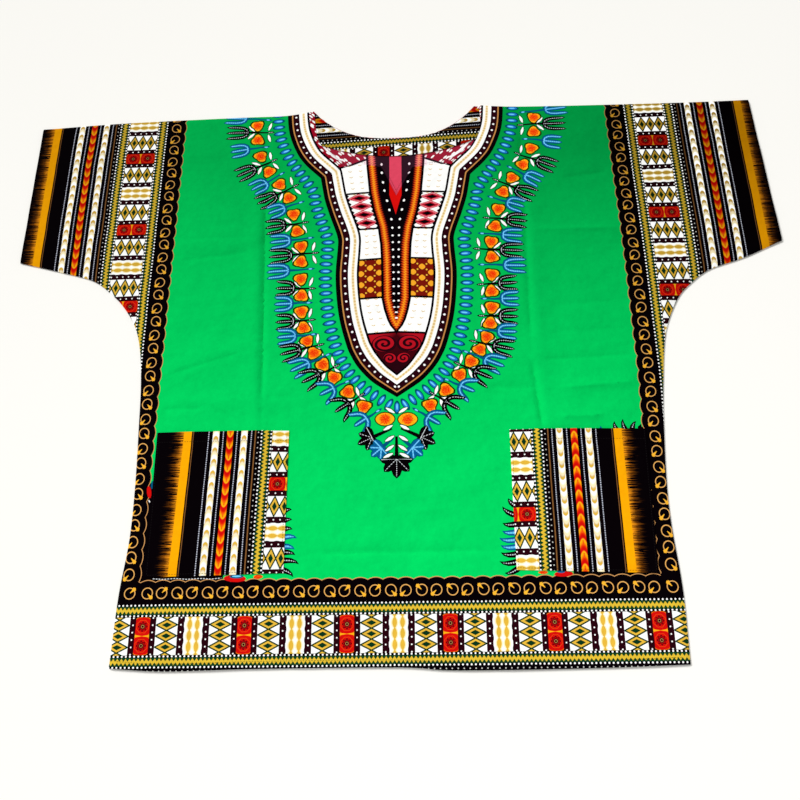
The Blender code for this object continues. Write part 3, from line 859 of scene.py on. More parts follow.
inks = {
    # screen colours, 0 to 255
    "green": (2, 214, 98), "black": (6, 2, 5), "maroonBlack": (38, 5, 14), "orange": (255, 172, 6),
    "gold": (230, 184, 62), "white": (253, 254, 252), "cream": (250, 236, 200), "paleGold": (222, 190, 128),
    "red": (212, 14, 12), "darkRed": (104, 4, 8), "tan": (190, 132, 70), "ring": (230, 172, 94),
    "scallopGold": (208, 152, 92), "brightGold": (255, 186, 50), "braid": (224, 188, 54),
    "braidDark": (14, 62, 32), "outline": (10, 52, 28), "skyBlue": (112, 204, 250), "midBlue": (30, 118, 200),
    "seaBlue": (8, 92, 148), "stalkBlue": (4, 84, 122), "edgeBlue": (2, 74, 92), "brown": (132, 88, 46),
    "silver": (196, 200, 212), "petalGreen": (2, 82, 30), "rimGreen": (18, 58, 8), "crimson": (190, 24, 44),
    "greyWhite": (212, 218, 222), "flower": (255, 128, 10), "flowerRed": (238, 84, 16),
    "strokeRed": (232, 40, 4), "flowerEdge": (255, 178, 24), "maroon": (116, 20, 10),
    "deepCrimson": (150, 10, 34), "netGold": (244, 168, 40), "ember": (230, 104, 26),
    "emberRed": (196, 56, 14), "footGround": (62, 4, 12), "slate": (74, 78, 98), "amber": (228, 140, 24),
    "wrongPale": (245, 140, 190),
    "thread": (12, 9, 10), "dot": (196, 196, 190), "burnt": (134, 74, 12), "deepBrown": (52, 28, 6),
    "butter": (255, 242, 190), "pink": (244, 150, 162), "footRed": (178, 18, 32),
}


def ink(name):
    # screen colour to the linear one that a shader takes
    parts = [c / 255 for c in inks[name]]
    return tuple(p / 12.92 if p <= 0.04045 else ((p + 0.055) / 1.055) ** 2.4 for p in parts) + (1.0,)


def sign(operation, swapped=False):
    # a method of the class below, for one arithmetic sign
    def method(self, other):
        values = (other, self) if swapped else (self, other)
        return self.maths(operation, *values)
    return method


class Shade:
    # one socket in a material, with plain arithmetic on it
    def __init__(self, tree, socket=None):
        self.tree = tree
        self.socket = socket

    def node(self, kind, settings=None, values=None, output=0):
        made = self.tree.nodes.new(kind)
        for key, value in (settings or {}).items():
            if key == "stops":
                ramp = made.color_ramp
                while len(ramp.elements) < len(value):
                    ramp.elements.new(0.5)
                for element, (place, colour) in zip(ramp.elements, value):
                    element.position = place
                    element.color = colour
            else:
                setattr(made, key, value)
        for place, value in (values or {}).items():
            if isinstance(value, Shade):
                self.tree.links.new(value.socket, made.inputs[place])
            else:
                made.inputs[place].default_value = value
        return Shade(self.tree, made.outputs[output])

    def maths(self, operation, *values, clamp=False):
        settings = {"operation": operation, "use_clamp": clamp}
        return self.node("ShaderNodeMath", settings, dict(enumerate(values)))

    __add__ = sign("ADD")
    __radd__ = sign("ADD", True)
    __sub__ = sign("SUBTRACT")
    __rsub__ = sign("SUBTRACT", True)
    __mul__ = sign("MULTIPLY")
    __truediv__ = sign("DIVIDE")
    __lt__ = sign("LESS_THAN")
    __gt__ = sign("GREATER_THAN")
    __and__ = sign("MULTIPLY")
    __or__ = sign("MAXIMUM")
    least = sign("MINIMUM")
    most = sign("MAXIMUM")

    def __abs__(self):
        return self.maths("ABSOLUTE", self)

    def near(self, centre, half):
        # 1 within half of the centre
        return self.maths("COMPARE", self, centre, half)

    def repeat(self, pitch):
        # distance to the nearest whole pitch
        return self.maths("PINGPONG", self, pitch / 2)

    def wrap(self, pitch):
        return self.maths("FLOORED_MODULO", self, pitch)

    def square(self, other):
        # the two as the sides of a right angle, squared and added
        return self.maths("MULTIPLY_ADD", other, other, self.maths("MULTIPLY", self, self))

    def root(self):
        return self.maths("SQRT", self)

    def profile(self, rows):
        # a value read off a table: place, value, with straight runs between the rows
        low, high = rows[0][0], rows[-1][0]
        most = max(value for place, value in rows)
        stops = [((place - low) / (high - low), (value / most,) * 3 + (1.0,)) for place, value in rows]
        share = (self - low) / (high - low)
        return self.node("ShaderNodeValToRGB", {"stops": stops}, {0: share}) * most

    def ramp(self, *stops):
        # inks blended along a value from 0 to 1
        stops = [(place, ink(name)) for place, name in stops]
        return self.node("ShaderNodeValToRGB", {"stops": stops}, {0: self})

    def mix(self, share, first, second):
        first, second = [ink(colour) if isinstance(colour, str) else colour for colour in (first, second)]
        return self.node("ShaderNodeMix", {"data_type": "RGBA"}, {0: share, 6: first, 7: second}, 2)

    def flat(self, name):
        return self.mix(0.0, name, name)

    def over(self, mask, colour):
        # this colour, with another one printed on it where the mask is 1
        return self.mix(mask, self, colour)

    def noise(self, scale, detail=2.0, output=0):
        return self.node("ShaderNodeTexNoise", {}, {"Vector": self, "Scale": scale, "Detail": detail}, output)

    def spot(self, x, y):
        return self.node("ShaderNodeCombineXYZ", {}, {0: x, 1: y, 2: 0.0})

    def cells(self, output):
        # scattered cells: distance to the nearest one's middle, or its own colour
        values = {"Vector": self, "Scale": 1.0, "Randomness": 0.7}
        return self.node("ShaderNodeTexVoronoi", {"voronoi_dimensions": "2D"}, values, output)

    def vector(self, operation, values):
        return self.node("ShaderNodeVectorMath", {"operation": operation}, {0: self, **values})

    def stretched(self, x, y, z=1.0):
        return self.vector("MULTIPLY", {1: (x, y, z)})

    def parts(self):
        node = self.node("ShaderNodeSeparateXYZ", {}, {0: self}).socket.node
        return Shade(self.tree, node.outputs[0]), Shade(self.tree, node.outputs[1])

    def primary(self, output):
        # how red a colour is, or for output 2 how blue
        return self.node("ShaderNodeSeparateColor", {}, {0: self}, output)

    def bump(self, strength, distance, **values):
        values.update({"Strength": strength, "Distance": distance, "Height": self})
        return self.node("ShaderNodeBump", {}, values)

    def into(self, shader, name):
        self.tree.links.new(self.socket, shader.inputs[name])


border = {
    # mm across the print from the middle of the shirt; pitches run along it
    # rings: middle, reach, half width; they stand in pairs: the first one, and the second's step from it
    "ring": (335.3, 6.5, 0.62), "ringPitch": 37.6, "ringPair": (9.8, 18.0), "ringEnd": 345,
    # the dart: lean, swell, half width at its point, middle and half length, taper
    "dart": (0.7071, 0.034, 0.45, 5.3, 4.3, 0.7),
    # the scalloped line: place, half width, pitch, depth, and how far from it the ground ends
    "scallop": (322.4, 0.52, 18.8, 2.7, 0.6),
    # dark ground beside and below the pockets: outside and below these corners
    "darkGround": ((-217, -176), (214, -112)),
    "ladder": 385.4, "ladderHalf": 21.8, "period": 124.5, "cell": 12.6,
    # each braid: place beside the ladder, half widths and pitch; its zigzag's start, slope and half width
    "braid": (29.5, 4.9, 3.9, 5.05), "zigzag": (1.26, 1.35, 2.3), "braidDots": (6.2, 1.3),
    "looseDots": (425.4, 7.0, 0.75),
    # white cell: its end, place of the chain, place and depth of the scallops; chains: half width, waist
    "whiteCell": (14, 4.7, 10.9, 1.9), "chains": (("butter", 4.4, 2.4), ("gold", 2.9, 2.3)),
    # diamonds: middle, end, height and slope, then their sizes; bars: place, half width, and their dots
    "diamondFold": (32.8, 13.4, 13.0, 0.98),
    "diamonds": (("outline", 1.14), ("gold", 0.86), ("outline", 0.47)),
    "bar": (17.25, 3.9), "barDots": (4.2, 8.4, 0.95),
    # red cell: middle, half length, rosette's place, squareness of its disc and depth of its eight petals
    "redCell": (62.25, 8.7, 11.0, 0.78, 0.16), "discs": (("flower", 9.75), ("red", 9.3)),
    # rings of the rosette: ink, share of the petals' wave, reach, half width
    "rose": (("red", -0.5, 3.6, 0.3), ("maroonBlack", 0, 0, 3.0), ("tan", 0, 1.7, 0.36),
             ("flowerRed", 0.35, 7.5, 0.22)),
    "roseHeart": (5.3, 0.9), "redWaist": 0.17,
    # stripes: middle, the white ones' place beside it, half widths, pitch and bow of their figures
    "stripes": 462.9, "whiteStripe": (18.7, 4.3), "redStripe": 4.2, "figures": 15.45, "bow": (0.29, 0.31),
    "thinLines": (9.2, 28.4), "thinHalf": 0.62, "thinDots": (2.9, 0.85), "brownLine": (429.3, 0.8),
    # orange band: its edges, grain of its brushed end, and the line before it
    "orange": (514.0, 523.6), "grain": (0.035, 1.3), "broadGrain": 0.16, "brushed": (28, 4),
    "orangeLine": (2.2, 0.5),
}


def paintRings(colour, u, v):
    # ring chain with a dart across each ring, and the scalloped line towards the ground
    middle, reach, half = border["ring"]
    pitch, end = border["ringPitch"], border["ringEnd"]
    first, apart = border["ringPair"]
    turn = (v + pitch / 2).wrap(pitch)
    second = turn > pitch / 2
    dv = turn - first - second * apart
    du = u - middle
    way = second * -2 + 1
    colour = colour.over(du.square(dv).root().near(reach, half) & (u < end), "ring")
    lean, swell, point, dartMiddle, dartHalf, taper = border["dart"]
    dartLong = (0 - dv - way * du) * lean
    dartWide = abs((dv - way * du) * lean)
    inDart = (dartLong + dartWide * taper).near(dartMiddle, dartHalf) & (u < end)
    colour = colour.over((dartWide < dartLong * dartLong * swell + point) & inDart, "brightGold")
    line, half, pitch, depth, margin = border["scallop"]
    lobe = v.repeat(pitch) / (pitch / 2)
    wave = u + lobe * (2 - lobe) * depth
    return colour.over(wave.near(line, half), "scallopGold"), wave < line - margin


def paintLadder(v, fromMiddle, uMid):
    # cells along the ladder: white with gold chains, diamonds, red with two rosettes, and bars between
    ladder = v.flat("white")
    w = v.repeat(border["period"])
    q = uMid.repeat(border["cell"]) / (border["cell"] / 2)
    end, chainAt, scallopAt, scallop = border["whiteCell"]
    fromChain = abs(w - chainAt)
    for name, wide, narrow in border["chains"]:
        ladder = ladder.over((w < end) & (fromChain < wide - q * q * narrow), name)
    ladder = ladder.over((w < end) & (w - (1 - q) * (1 - q) * scallop > scallopAt), "black")
    foldAt, foldEnd, tall, slope = border["diamondFold"]
    fold = abs(w - foldAt)
    diamond = fold / tall + q * slope
    for name, reach in border["diamonds"]:
        ladder = ladder.over((fold < foldEnd) & (diamond < reach), name)
    barAt, barHalf = border["bar"]
    start, pitch, dot = border["barDots"]
    ladder = ladder.over(fold.near(barAt, barHalf), "maroonBlack")
    ladder = ladder.over((fold - barAt).square((uMid + start).repeat(pitch)) < dot, "white")
    # red cell: two rosettes of eight petals
    cellAt, cellHalf, roseAt, squareness, wavy = border["redCell"]
    t = cellAt - w
    inRed = t < cellHalf
    ladder = ladder.over(inRed, "maroonBlack")
    side = fromMiddle - roseAt
    reach = t.square(side).root()
    turn = t.maths("ARCTAN2", t, side)
    petals = (turn * 8).maths("COSINE", turn * 8)
    disc = (t * t).square(side * side * squareness).root().root() - petals * wavy
    for name, size in border["discs"]:
        ladder = ladder.over(inRed & (disc < size), name)
    heart, heartWave = border["roseHeart"]
    ladder = ladder.over(inRed & (reach < heart + petals * heartWave), "darkRed")
    for name, share, ringAt, half in border["rose"]:
        ladder = ladder.over(inRed & (reach + petals * share).near(ringAt, half), name)
    return ladder.over(inRed & (fromMiddle < t * border["redWaist"]), "flowerEdge")


def paintStripes(colour, u, v):
    # the sleeve stripes: thin silver lines, white stripes with gold domes, one of red and orange petals
    aside = abs(u - border["stripes"])
    near, far = [aside.near(place, border["thinHalf"]) for place in border["thinLines"]]
    thin = near | far
    pitch, dot = border["thinDots"]
    colour = colour.over(u.near(*border["brownLine"]), "brown")
    colour = colour.over(thin, "slate").over(thin & (v.repeat(pitch) < dot), "silver")
    whiteAt, whiteHalf = border["whiteStripe"]
    domeBow, petalBow = border["bow"]
    stripe = abs(aside - whiteAt)
    depth = (4.0 - v - stripe * stripe * domeBow).wrap(border["figures"]) / border["figures"]
    dome = depth.ramp((0.0, "white"), (0.04, "paleGold"), (0.09, "gold"), (0.2, "gold"), (0.28, "paleGold"),
                      (0.4, "cream"), (0.56, "butter"), (0.7, "white"), (1.0, "white"))
    dome = dome.over((depth < 0.26) & (stripe > 3.2), "white")
    colour = colour.over(stripe < whiteHalf, dome)
    up = (v - aside * aside * petalBow).wrap(border["figures"]) / border["figures"]
    petals = up.ramp((0.0, "red"), (0.05, "flowerRed"), (0.11, "flowerEdge"), (0.32, "orange"),
                     (0.44, "flower"), (0.55, "flowerRed"), (0.66, "strokeRed"), (0.8, "red"), (1.0, "red"))
    petals = petals.over((aside < 0.7) & up.near(0.42, 0.2), "flowerRed")
    return colour.over(aside < border["redStripe"], petals)


def paintBrushed(colour, u, v):
    # orange band, brushed out in thin strokes
    start, end = border["orange"]
    grainU, grainV = border["grain"]
    strokes = u.spot(u * grainU, v * grainV).noise(1.0)
    broad = u.spot(4.0, v * border["broadGrain"]).noise(1.0)
    far, least = border["brushed"]
    reach = (u - end) / (broad * far + least)
    tone = reach.ramp((0.0, "orange"), (0.16, "amber"), (0.42, "burnt"), (0.8, "deepBrown"), (1.0, "black"))
    drawn = (u > start) & (reach < 1)
    colour = colour.over(drawn & ((strokes > (reach * 0.14 + 0.455)) | (reach < 0.06)), tone)
    before, half = border["orangeLine"]
    return colour.over(u.near(start - before, half), "brown")


def paintBorder(place, band):
    # the border print: across it from the ground to the sleeve end, and along it, both in mm
    x, y = place
    u, v = band
    colour, ground = paintRings(u.flat("black"), u, v)
    (leftX, leftY), (rightX, rightY) = border["darkGround"]
    dark = ((y < leftY) & (x < leftX)) | ((y < rightY) & (x > rightX))
    colour = colour.over(ground, "green").over(ground & dark, "black")
    # the two zigzag braids with their rows of dots, on both sides of the ladder
    uMid = u - border["ladder"]
    fromMiddle = abs(uMid)
    braidAt, darkHalf, goldHalf, pitch = border["braid"]
    start, slope, half = border["zigzag"]
    side = fromMiddle - braidAt
    braid = abs(side)
    dotV = v.repeat(pitch)
    zig = side - (dotV - start) * slope
    colour = colour.over(braid < darkHalf, "braidDark")
    colour = colour.over(zig.near(0, half) & (braid < goldHalf), "braid")
    dotAt, dot = border["braidDots"]
    colour = colour.over((braid - dotAt).square(dotV) < dot, "white")
    dotAt, pitch, dot = border["looseDots"]
    colour = colour.over((u - dotAt).square(v.repeat(pitch)) < dot, "dot")
    colour = colour.over(fromMiddle < border["ladderHalf"], paintLadder(v, fromMiddle, uMid))
    return paintBrushed(paintStripes(colour, u, v), u, v)


ornament = {
    # in from the edge: lines and bands, rows of dots and beads, and the black line before the panels
    # dots: place, start, pitch, size; beads: place, half across, pitch, half along
    "edgeLine": (7.2, 1.0), "innerEdge": 8.4, "edgeDots": (12.9, 2.0, 12.5, 2.7), "blackFrom": 16.4,
    "bands": (("white", 23.7, 6.2), ("cream", 24.4, 2.2)), "beads": (24.4, 1.5, 5.2, 2.3), "lineIn": 33.0,
    # the bands draw together towards the point: half width, height, share
    "narrowing": (27, 14, 0.15),
    # by height: half width of the middle column, reach of its dots, and their count
    "column": ((27, 0), (34, 3.7), (41, 8.9), (50, 12.9), (65, 17.2), (83, 20.6), (141, 21.3), (170, 22.5),
               (199, 26.3), (228, 33.6), (259, 38.9), (303, 43.0), (340, 45.0)),
    "dotReach": ((40, 0.4), (62, 0.5), (69, 2.9), (80, 3.4), (136, 3.5), (197, 4.9), (211, 6.2), (227, 9.2),
                 (242, 12.2), (260, 16.2), (274, 18.3), (292, 20.2), (330, 21.5)),
    "dotCount": ((40, 0), (52.7, 1), (61, 2), (69, 3), (79, 4), (90.2, 5), (101.2, 6), (112.9, 7), (123.7, 8),
                 (135.6, 9), (148.5, 10), (160.5, 11), (172.5, 12), (183.7, 13), (196.8, 14), (211, 15),
                 (227, 16), (242.4, 17), (260.3, 18), (274.4, 19), (291.5, 20), (308, 21), (326, 22),
                 (345, 23)),
    # spacing of the dots, flame band's start and width, red wedge's foot, slope and widest half
    "dotStep": 12.5, "dot": 2.7, "dotsFrom": 50, "flame": (3.4, 10.8), "wedge": (219, 0.27, 9.0),
    # panels: slant of their edges; ticks: slope, start, pitch, half width, reach; lines between the panels
    "slant": 0.06, "tickShares": (0.32, 0.74), "tick": (0.55, 2.0, 10.2, 0.62, 2.5),
    "levels": (259.5, 198.0, 147.5, 86.5, 31.0), "levelHalf": 1.5,
    # panels of zigzags and of lozenges: middle and half height, pitch, middle row, and size of one
    "zigPanel": (229.5, 30.0), "zigPitch": 14.2, "zigMiddle": 222.5, "zigBody": (14.5, 5.6),
    "netPanel": (117.0, 30.0), "netPitch": (25.6, 17.4), "netMiddle": 114.6, "lozenge": (6.3, 5.3),
    # foot: its top, and its scrolls: middle, stretch, reach, pitch
    "footTop": 31, "scrollHalf": 0.55,
    "scrolls": ((17.0, 13.5, 1.35, 12.0, 6.6), (9.6, -8.0, 1.15, 8.0, 5.0)),
    # petals strewn above the panels: slope and height of the edge, scale, share left out and size
    "strewnFrom": (0.42, 336), "strewn": (0.062, 0.165), "strewnShare": 0.3, "strewnSize": 0.33,
}


def paintZigzags(panel, x, y, slant, across, edge):
    # crimson zigzag diamonds with feathered edges
    zig = slant - ornament["zigMiddle"]
    pitch = ornament["zigPitch"]
    long, tall = ornament["zigBody"]
    dy, away = zig.repeat(pitch), abs(across)
    inZig = slant.near(*ornament["zigPanel"])
    body = away / long + dy / tall + x.spot(x * 0.12, y * 0.9).noise(1.0) * 0.5
    crossing = (pitch / 2 - dy) - away * 0.42
    panel = panel.over(inZig & (body < 1.42), "pink").over(inZig & (body < 1.20), "crimson")
    panel = panel.over(inZig & crossing.near(0, 0.62), "crimson")
    panel = panel.over(inZig & (away / 8.2 + dy / 3.3 < 1), "black")
    return panel.over(inZig & (edge < 2.6 - (zig + 2).repeat(pitch / 2) * 0.9), "black")


def paintNet(panel, slant, across):
    # gold lozenges in rows, with a speck between each four
    inNet = slant.near(*ornament["netPanel"])
    panel = panel.over(inNet, "maroon")
    pitchX, pitchY = ornament["netPitch"]
    long, tall = ornament["lozenge"]
    down = slant - ornament["netMiddle"] - 1.8
    speck = (across + pitchX / 4).repeat(pitchX / 2).square((down + pitchY / 4).repeat(pitchY / 2)) < 1.7
    panel = panel.over(inNet & speck, "gold")
    for k in (0, 1):
        a, d = (across + k * pitchX / 2).repeat(pitchX), (down + k * pitchY / 2).repeat(pitchY)
        lozenge = a / long + d / tall
        panel = panel.over(inNet & (lozenge < 1.22), "maroon")
        panel = panel.over(inNet & (lozenge < 1.0) & (a.square(d) < 20), "netGold")
    return panel


def paintFoot(panel, y, slant, ax):
    # dark red foot with plain scrolls
    foot = ((slant + ax * 0.9 + 12) / 62).ramp(
        (0.0, "maroonBlack"), (0.35, "footGround"), (0.62, "footGround"), (0.92, "footRed"), (1.0, "footRed"))
    for cx, cy, stretch, far, pitch in ornament["scrolls"]:
        dx, dy = (ax - cx) / stretch, y - cy
        reach = dx.square(dy).root()
        angle = dx.maths("ARCTAN2", dy, dx) * (1 / (2 * math.pi))
        arm = (reach / pitch + angle).wrap(1.0) < 0.46
        foot = foot.over(reach < far, "footRed").over((reach < far) & arm, "maroonBlack")
        foot = foot.over(reach.near(far, ornament["scrollHalf"]), "maroonBlack")
    return panel.over(slant < ornament["footTop"], foot)


def paintPanels(x, y, ax, fromLine, fromColumn):
    # the panels between the black line and the middle column
    slant = y + ax * ornament["slant"]
    panel = x.flat("white")
    wide = fromLine + fromColumn
    slope, start, pitch, half, reach = ornament["tick"]
    for share in ornament["tickShares"]:
        aside = abs(fromLine - wide * share)
        tick = (slant - aside * slope - start).repeat(pitch) < half
        panel = panel.over(tick & (aside < reach), "paleGold")
    across = (fromLine - fromColumn) * 0.5
    panel = paintZigzags(panel, x, y, slant, across, fromLine.least(fromColumn))
    panel = paintFoot(paintNet(panel, slant, across), y, slant, ax)
    for level in ornament["levels"]:
        panel = panel.over(slant.near(level, ornament["levelHalf"]), "black")
    # above the panels: crimson ground strewn with white petals
    slope, top = ornament["strewnFrom"]
    scaleX, scaleY = ornament["strewn"]
    above = y + ax * slope - top
    strewn = x.spot((ax + y) * scaleX, (y - ax) * scaleY)
    cell, kept = strewn.cells(0), strewn.cells(1).parts()[0] > ornament["strewnShare"]
    seeded = panel.flat("deepCrimson").over((cell < ornament["strewnSize"]) & kept, "white")
    return panel.over(above > 0, seeded).over(above.near(0, 1.8), "black")


def paintColumn(y, ax, inside):
    # middle column: a flame band round a black core with two rows of dots, and a red wedge
    start, wide = ornament["flame"]
    rib = ((y + ax * 0.4).repeat(4.0) - 1.0) * 1.5
    flame = (inside + rib - start) / wide
    glow = flame.ramp((0.0, "darkRed"), (0.14, "emberRed"), (0.34, "ember"), (0.46, "flowerEdge"),
                      (0.6, "ember"), (0.8, "emberRed"), (0.92, "darkRed"), (1.0, "maroonBlack"))
    column = y.flat("black").over((inside > start) & (flame < 1), glow)
    dotStep = y.profile(ornament["dotCount"]).repeat(1.0) * ornament["dotStep"]
    dots = (ax - y.profile(ornament["dotReach"])).square(dotStep) < ornament["dot"]
    foot, slope, widest = ornament["wedge"]
    column = column.over(dots & (y > ornament["dotsFrom"]), "white")
    return column.over(ax < ((y - foot) * slope).least(widest), "red")


def paintNeck(place, band):
    # the neck panel: how far in from its edge and along it, and plain x and y, all in mm
    e, s = band
    x, y = place
    ax = abs(x)
    half, height, share = ornament["narrowing"]
    e = e * (((1 - ax / half) * (y < height)).most(0.0) * share + 1)
    colour = e.flat("black").over(e > ornament["innerEdge"], "maroonBlack")
    colour = colour.over(e.near(*ornament["edgeLine"]), "tan")
    dotAt, start, pitch, dot = ornament["edgeDots"]
    colour = colour.over((e - dotAt).square((s + start).repeat(pitch)) < dot, "white")
    colour = colour.over(e > ornament["blackFrom"], "black")
    for name, middle, half in ornament["bands"]:
        colour = colour.over(e.near(middle, half), name)
    beadAt, wide, pitch, long = ornament["beads"]
    colour = colour.over(((e - beadAt) / wide).square(s.repeat(pitch) / long) < 1, "paleGold")
    fromColumn = ax - y.profile(ornament["column"])
    fromLine = e - ornament["lineIn"]
    colour = colour.over(fromLine > 0, paintPanels(x, y, ax, fromLine, fromColumn))
    inside = 0 - fromColumn
    return colour.over((inside > 0) & (fromLine > 0), paintColumn(y, ax, inside))


def paintPlain(name):
    return lambda place, band: place[0].flat(name)


def paintDashes(name, base, pitch, share):
    return lambda place, band: band[0].flat(name).over(band[1].repeat(pitch) > pitch * share, base)


def paintFlower(place, band):
    # orange with a paler rim, and short red strokes
    reach = band[0].square(band[1])
    rim = reach.root() / 9.0
    rim = rim.ramp((0.0, "flowerRed"), (0.3, "flower"), (0.62, "flower"), (0.86, "flowerEdge"))
    strokes = place[0].spot(*place).noise(0.62) - reach * 0.0032
    return rim.over(strokes > 0.37, "flowerRed").over(strokes > 0.48, "strokeRed")


def paintDrop(place, band):
    # a small light in the middle, blue round it, and a dark pointed edge
    reach = (band[1] / neckPanel["dropLong"]).square(band[0] / neckPanel["dropWide"])
    light = ((band[1] + 1.0) / 4.6).square(band[0] / 1.15) < 1
    return band[0].flat("edgeBlue").over(reach < 0.47, "midBlue").over(light, "skyBlue")


def paintSeed(place, band):
    reach = abs(band[1] / 6.9) + (band[0] / 2.1).square(0)
    return band[0].flat("petalGreen").over(reach < 1, "white")


painters = {
    "ground": paintPlain("green"), "border": paintBorder, "ornament": paintNeck, "drop": paintDrop,
    "seed": paintSeed, "flowerOrange": paintFlower,
    "lineBlue": paintDashes("skyBlue", "midBlue", 3.1, 0.42),
    "lineWhite": paintDashes("greyWhite", "black", 2.9, 0.3),
    "dotted": paintDashes("greyWhite", "black", 3.7, 0.3),
}
plainInks = {
    "leafBlack": "black", "leafBlue": "seaBlue", "stalkBlue": "stalkBlue", "darkEdge": "edgeBlue",
    "dropLight": "skyBlue", "seedWhite": "white", "outlineGreen": "rimGreen", "redInk": "red",
}
painters.update({name: paintPlain(plain) for name, plain in plainInks.items()})

clothFinish = {
    "weave": 0.00058, "roughness": 0.82, "shine": 0.005, "wobble": 0.7, "wobbleSize": 38.0,
    # the print seen from the wrong side: paler, and more so beside the neck slit
    "wrongMix": 0.028, "wrongBloom": 0.05, "slitBloom": 0.24, "slitHalf": 47,
    # unevenness of the colour: scale, detail and share of each kind, and the rest
    "fine": 1400.0, "patchy": (7.0, 3.0), "mottled": 150.0, "uneven": (0.08, 0.12, 0.16, 0.82),
    # slubs run both ways, small crumples mostly one way: scales
    "slubs": (90.0, 1500.0), "crumples": (34.0, 3.0), "crumpled": (9.0, 26.0),
    # strength and depth of the bumps of threads and of crumples
    "threadBump": (0.16, 0.0004), "creaseBump": (0.5, 0.004),
    # shares of weave and slubs, and of the threads in the roughness
    "threads": (0.35, 1.2), "threadRough": 0.05,
    # painted shade: the print darker towards the shoulders, more so on the right sleeve, where less light
    # falls: low end, reach, curve, share, sideways
    "paintedShadeFrom": -250, "paintedShadeReach": 580, "paintedShadeCurve": 1.35, "paintedShadeShare": 0.57, "paintedShadeAcross": 0.00034,
    # how much less painted shade red inks take, and the inks that take painted shade
    "paintedShadeOnRed": 0.17, "paintedShadeInks": ("ground", "border"),
}


def newCloth(name):
    # a material, its shader, a shade to start from, and the place that its pattern is drawn from
    cloth = bpy.data.materials.new(name)
    cloth.use_nodes = True
    start = Shade(cloth.node_tree)
    return cloth, cloth.node_tree.nodes["Principled BSDF"], start, start.node("ShaderNodeTexCoord", {}, {}, 3)


def printedCloth(name, paint, wrongSide=False):
    cloth, shader, start, here = newCloth(name + ("WrongSide" if wrongSide else "Print"))
    # the screens never sit quite true: everything printed wanders a little
    wobble = clothFinish["wobble"]
    waver = here.noise(clothFinish["wobbleSize"], 2.0, 1)
    waver = waver.vector("MULTIPLY_ADD", {1: (wobble,) * 3, 2: (-wobble / 2,) * 3})
    charts = [start.node("ShaderNodeUVMap", {"uv_map": chart}) for chart in ("cut", "band")]
    toMm = {1: (1000.0, 1000.0, 0.0), 2: waver}
    place, band = [chart.vector("MULTIPLY_ADD", toMm).parts() for chart in charts]
    x, y = place
    colour = paint(place, band)
    if wrongSide:
        slit = (abs(x) < clothFinish["slitHalf"]) * clothFinish["slitBloom"] + clothFinish["wrongBloom"]
        colour = colour.over(colour.primary(0) * slit + clothFinish["wrongMix"], "wrongPale")
    fine, patchy, mottled, rest = clothFinish["uneven"]
    shade = here.stretched(*(clothFinish["fine"],) * 2).noise(1.0, 1.0) * fine
    shade = shade + here.noise(*clothFinish["patchy"]) * patchy
    shade = shade + here.noise(clothFinish["mottled"]) * mottled + rest
    # painted shade: ground and border inks darkened towards the shoulders and the right sleeve, less where an
    # ink is blue or red
    if name in clothFinish["paintedShadeInks"]:
        climb = (y - clothFinish["paintedShadeFrom"]) / clothFinish["paintedShadeReach"]
        climb = climb.maths("MULTIPLY", climb, 1.0, clamp=True)
        paintedShade = climb.maths("POWER", climb, clothFinish["paintedShadeCurve"]) * clothFinish["paintedShadeShare"]
        paintedShade = paintedShade + climb * x * clothFinish["paintedShadeAcross"]
        shade = shade * (1 - paintedShade * (1 - colour.primary(2)) * (1 - colour.primary(0) * clothFinish["paintedShadeOnRed"]))
    colour.vector("SCALE", {3: shade}).into(shader, "Base Color")
    # plain weave, slubs and small crumples
    turns = 2 * math.pi / clothFinish["weave"]
    warp, weft = here.stretched(turns, turns).parts()
    weave = warp.maths("SINE", warp) * weft.maths("SINE", weft)
    long, short = clothFinish["slubs"]
    slub = here.stretched(long, short).noise(1.0) + here.stretched(short, long).noise(1.0)
    threads = weave * clothFinish["threads"][0] + slub * clothFinish["threads"][1]
    rough = clothFinish["threadRough"]
    (threads * rough + clothFinish["roughness"] - rough).into(shader, "Roughness")
    crumple = here.noise(*clothFinish["crumples"]) + here.stretched(*clothFinish["crumpled"]).noise(1.0)
    soft = crumple.bump(*clothFinish["creaseBump"])
    threads.bump(*clothFinish["threadBump"], Normal=soft).into(shader, "Normal")
    shader.inputs["Specular IOR Level"].default_value = clothFinish["shine"]
    return cloth


wrongInks = ("ground", "border", "ornament", "seedWhite")
rightSides = {name: printedCloth(name, paint) for name, paint in painters.items()}
wrongSides = {name: printedCloth(name, painters[name], True) for name in wrongInks}
print("inks mixed")


# ---- the pieces ----

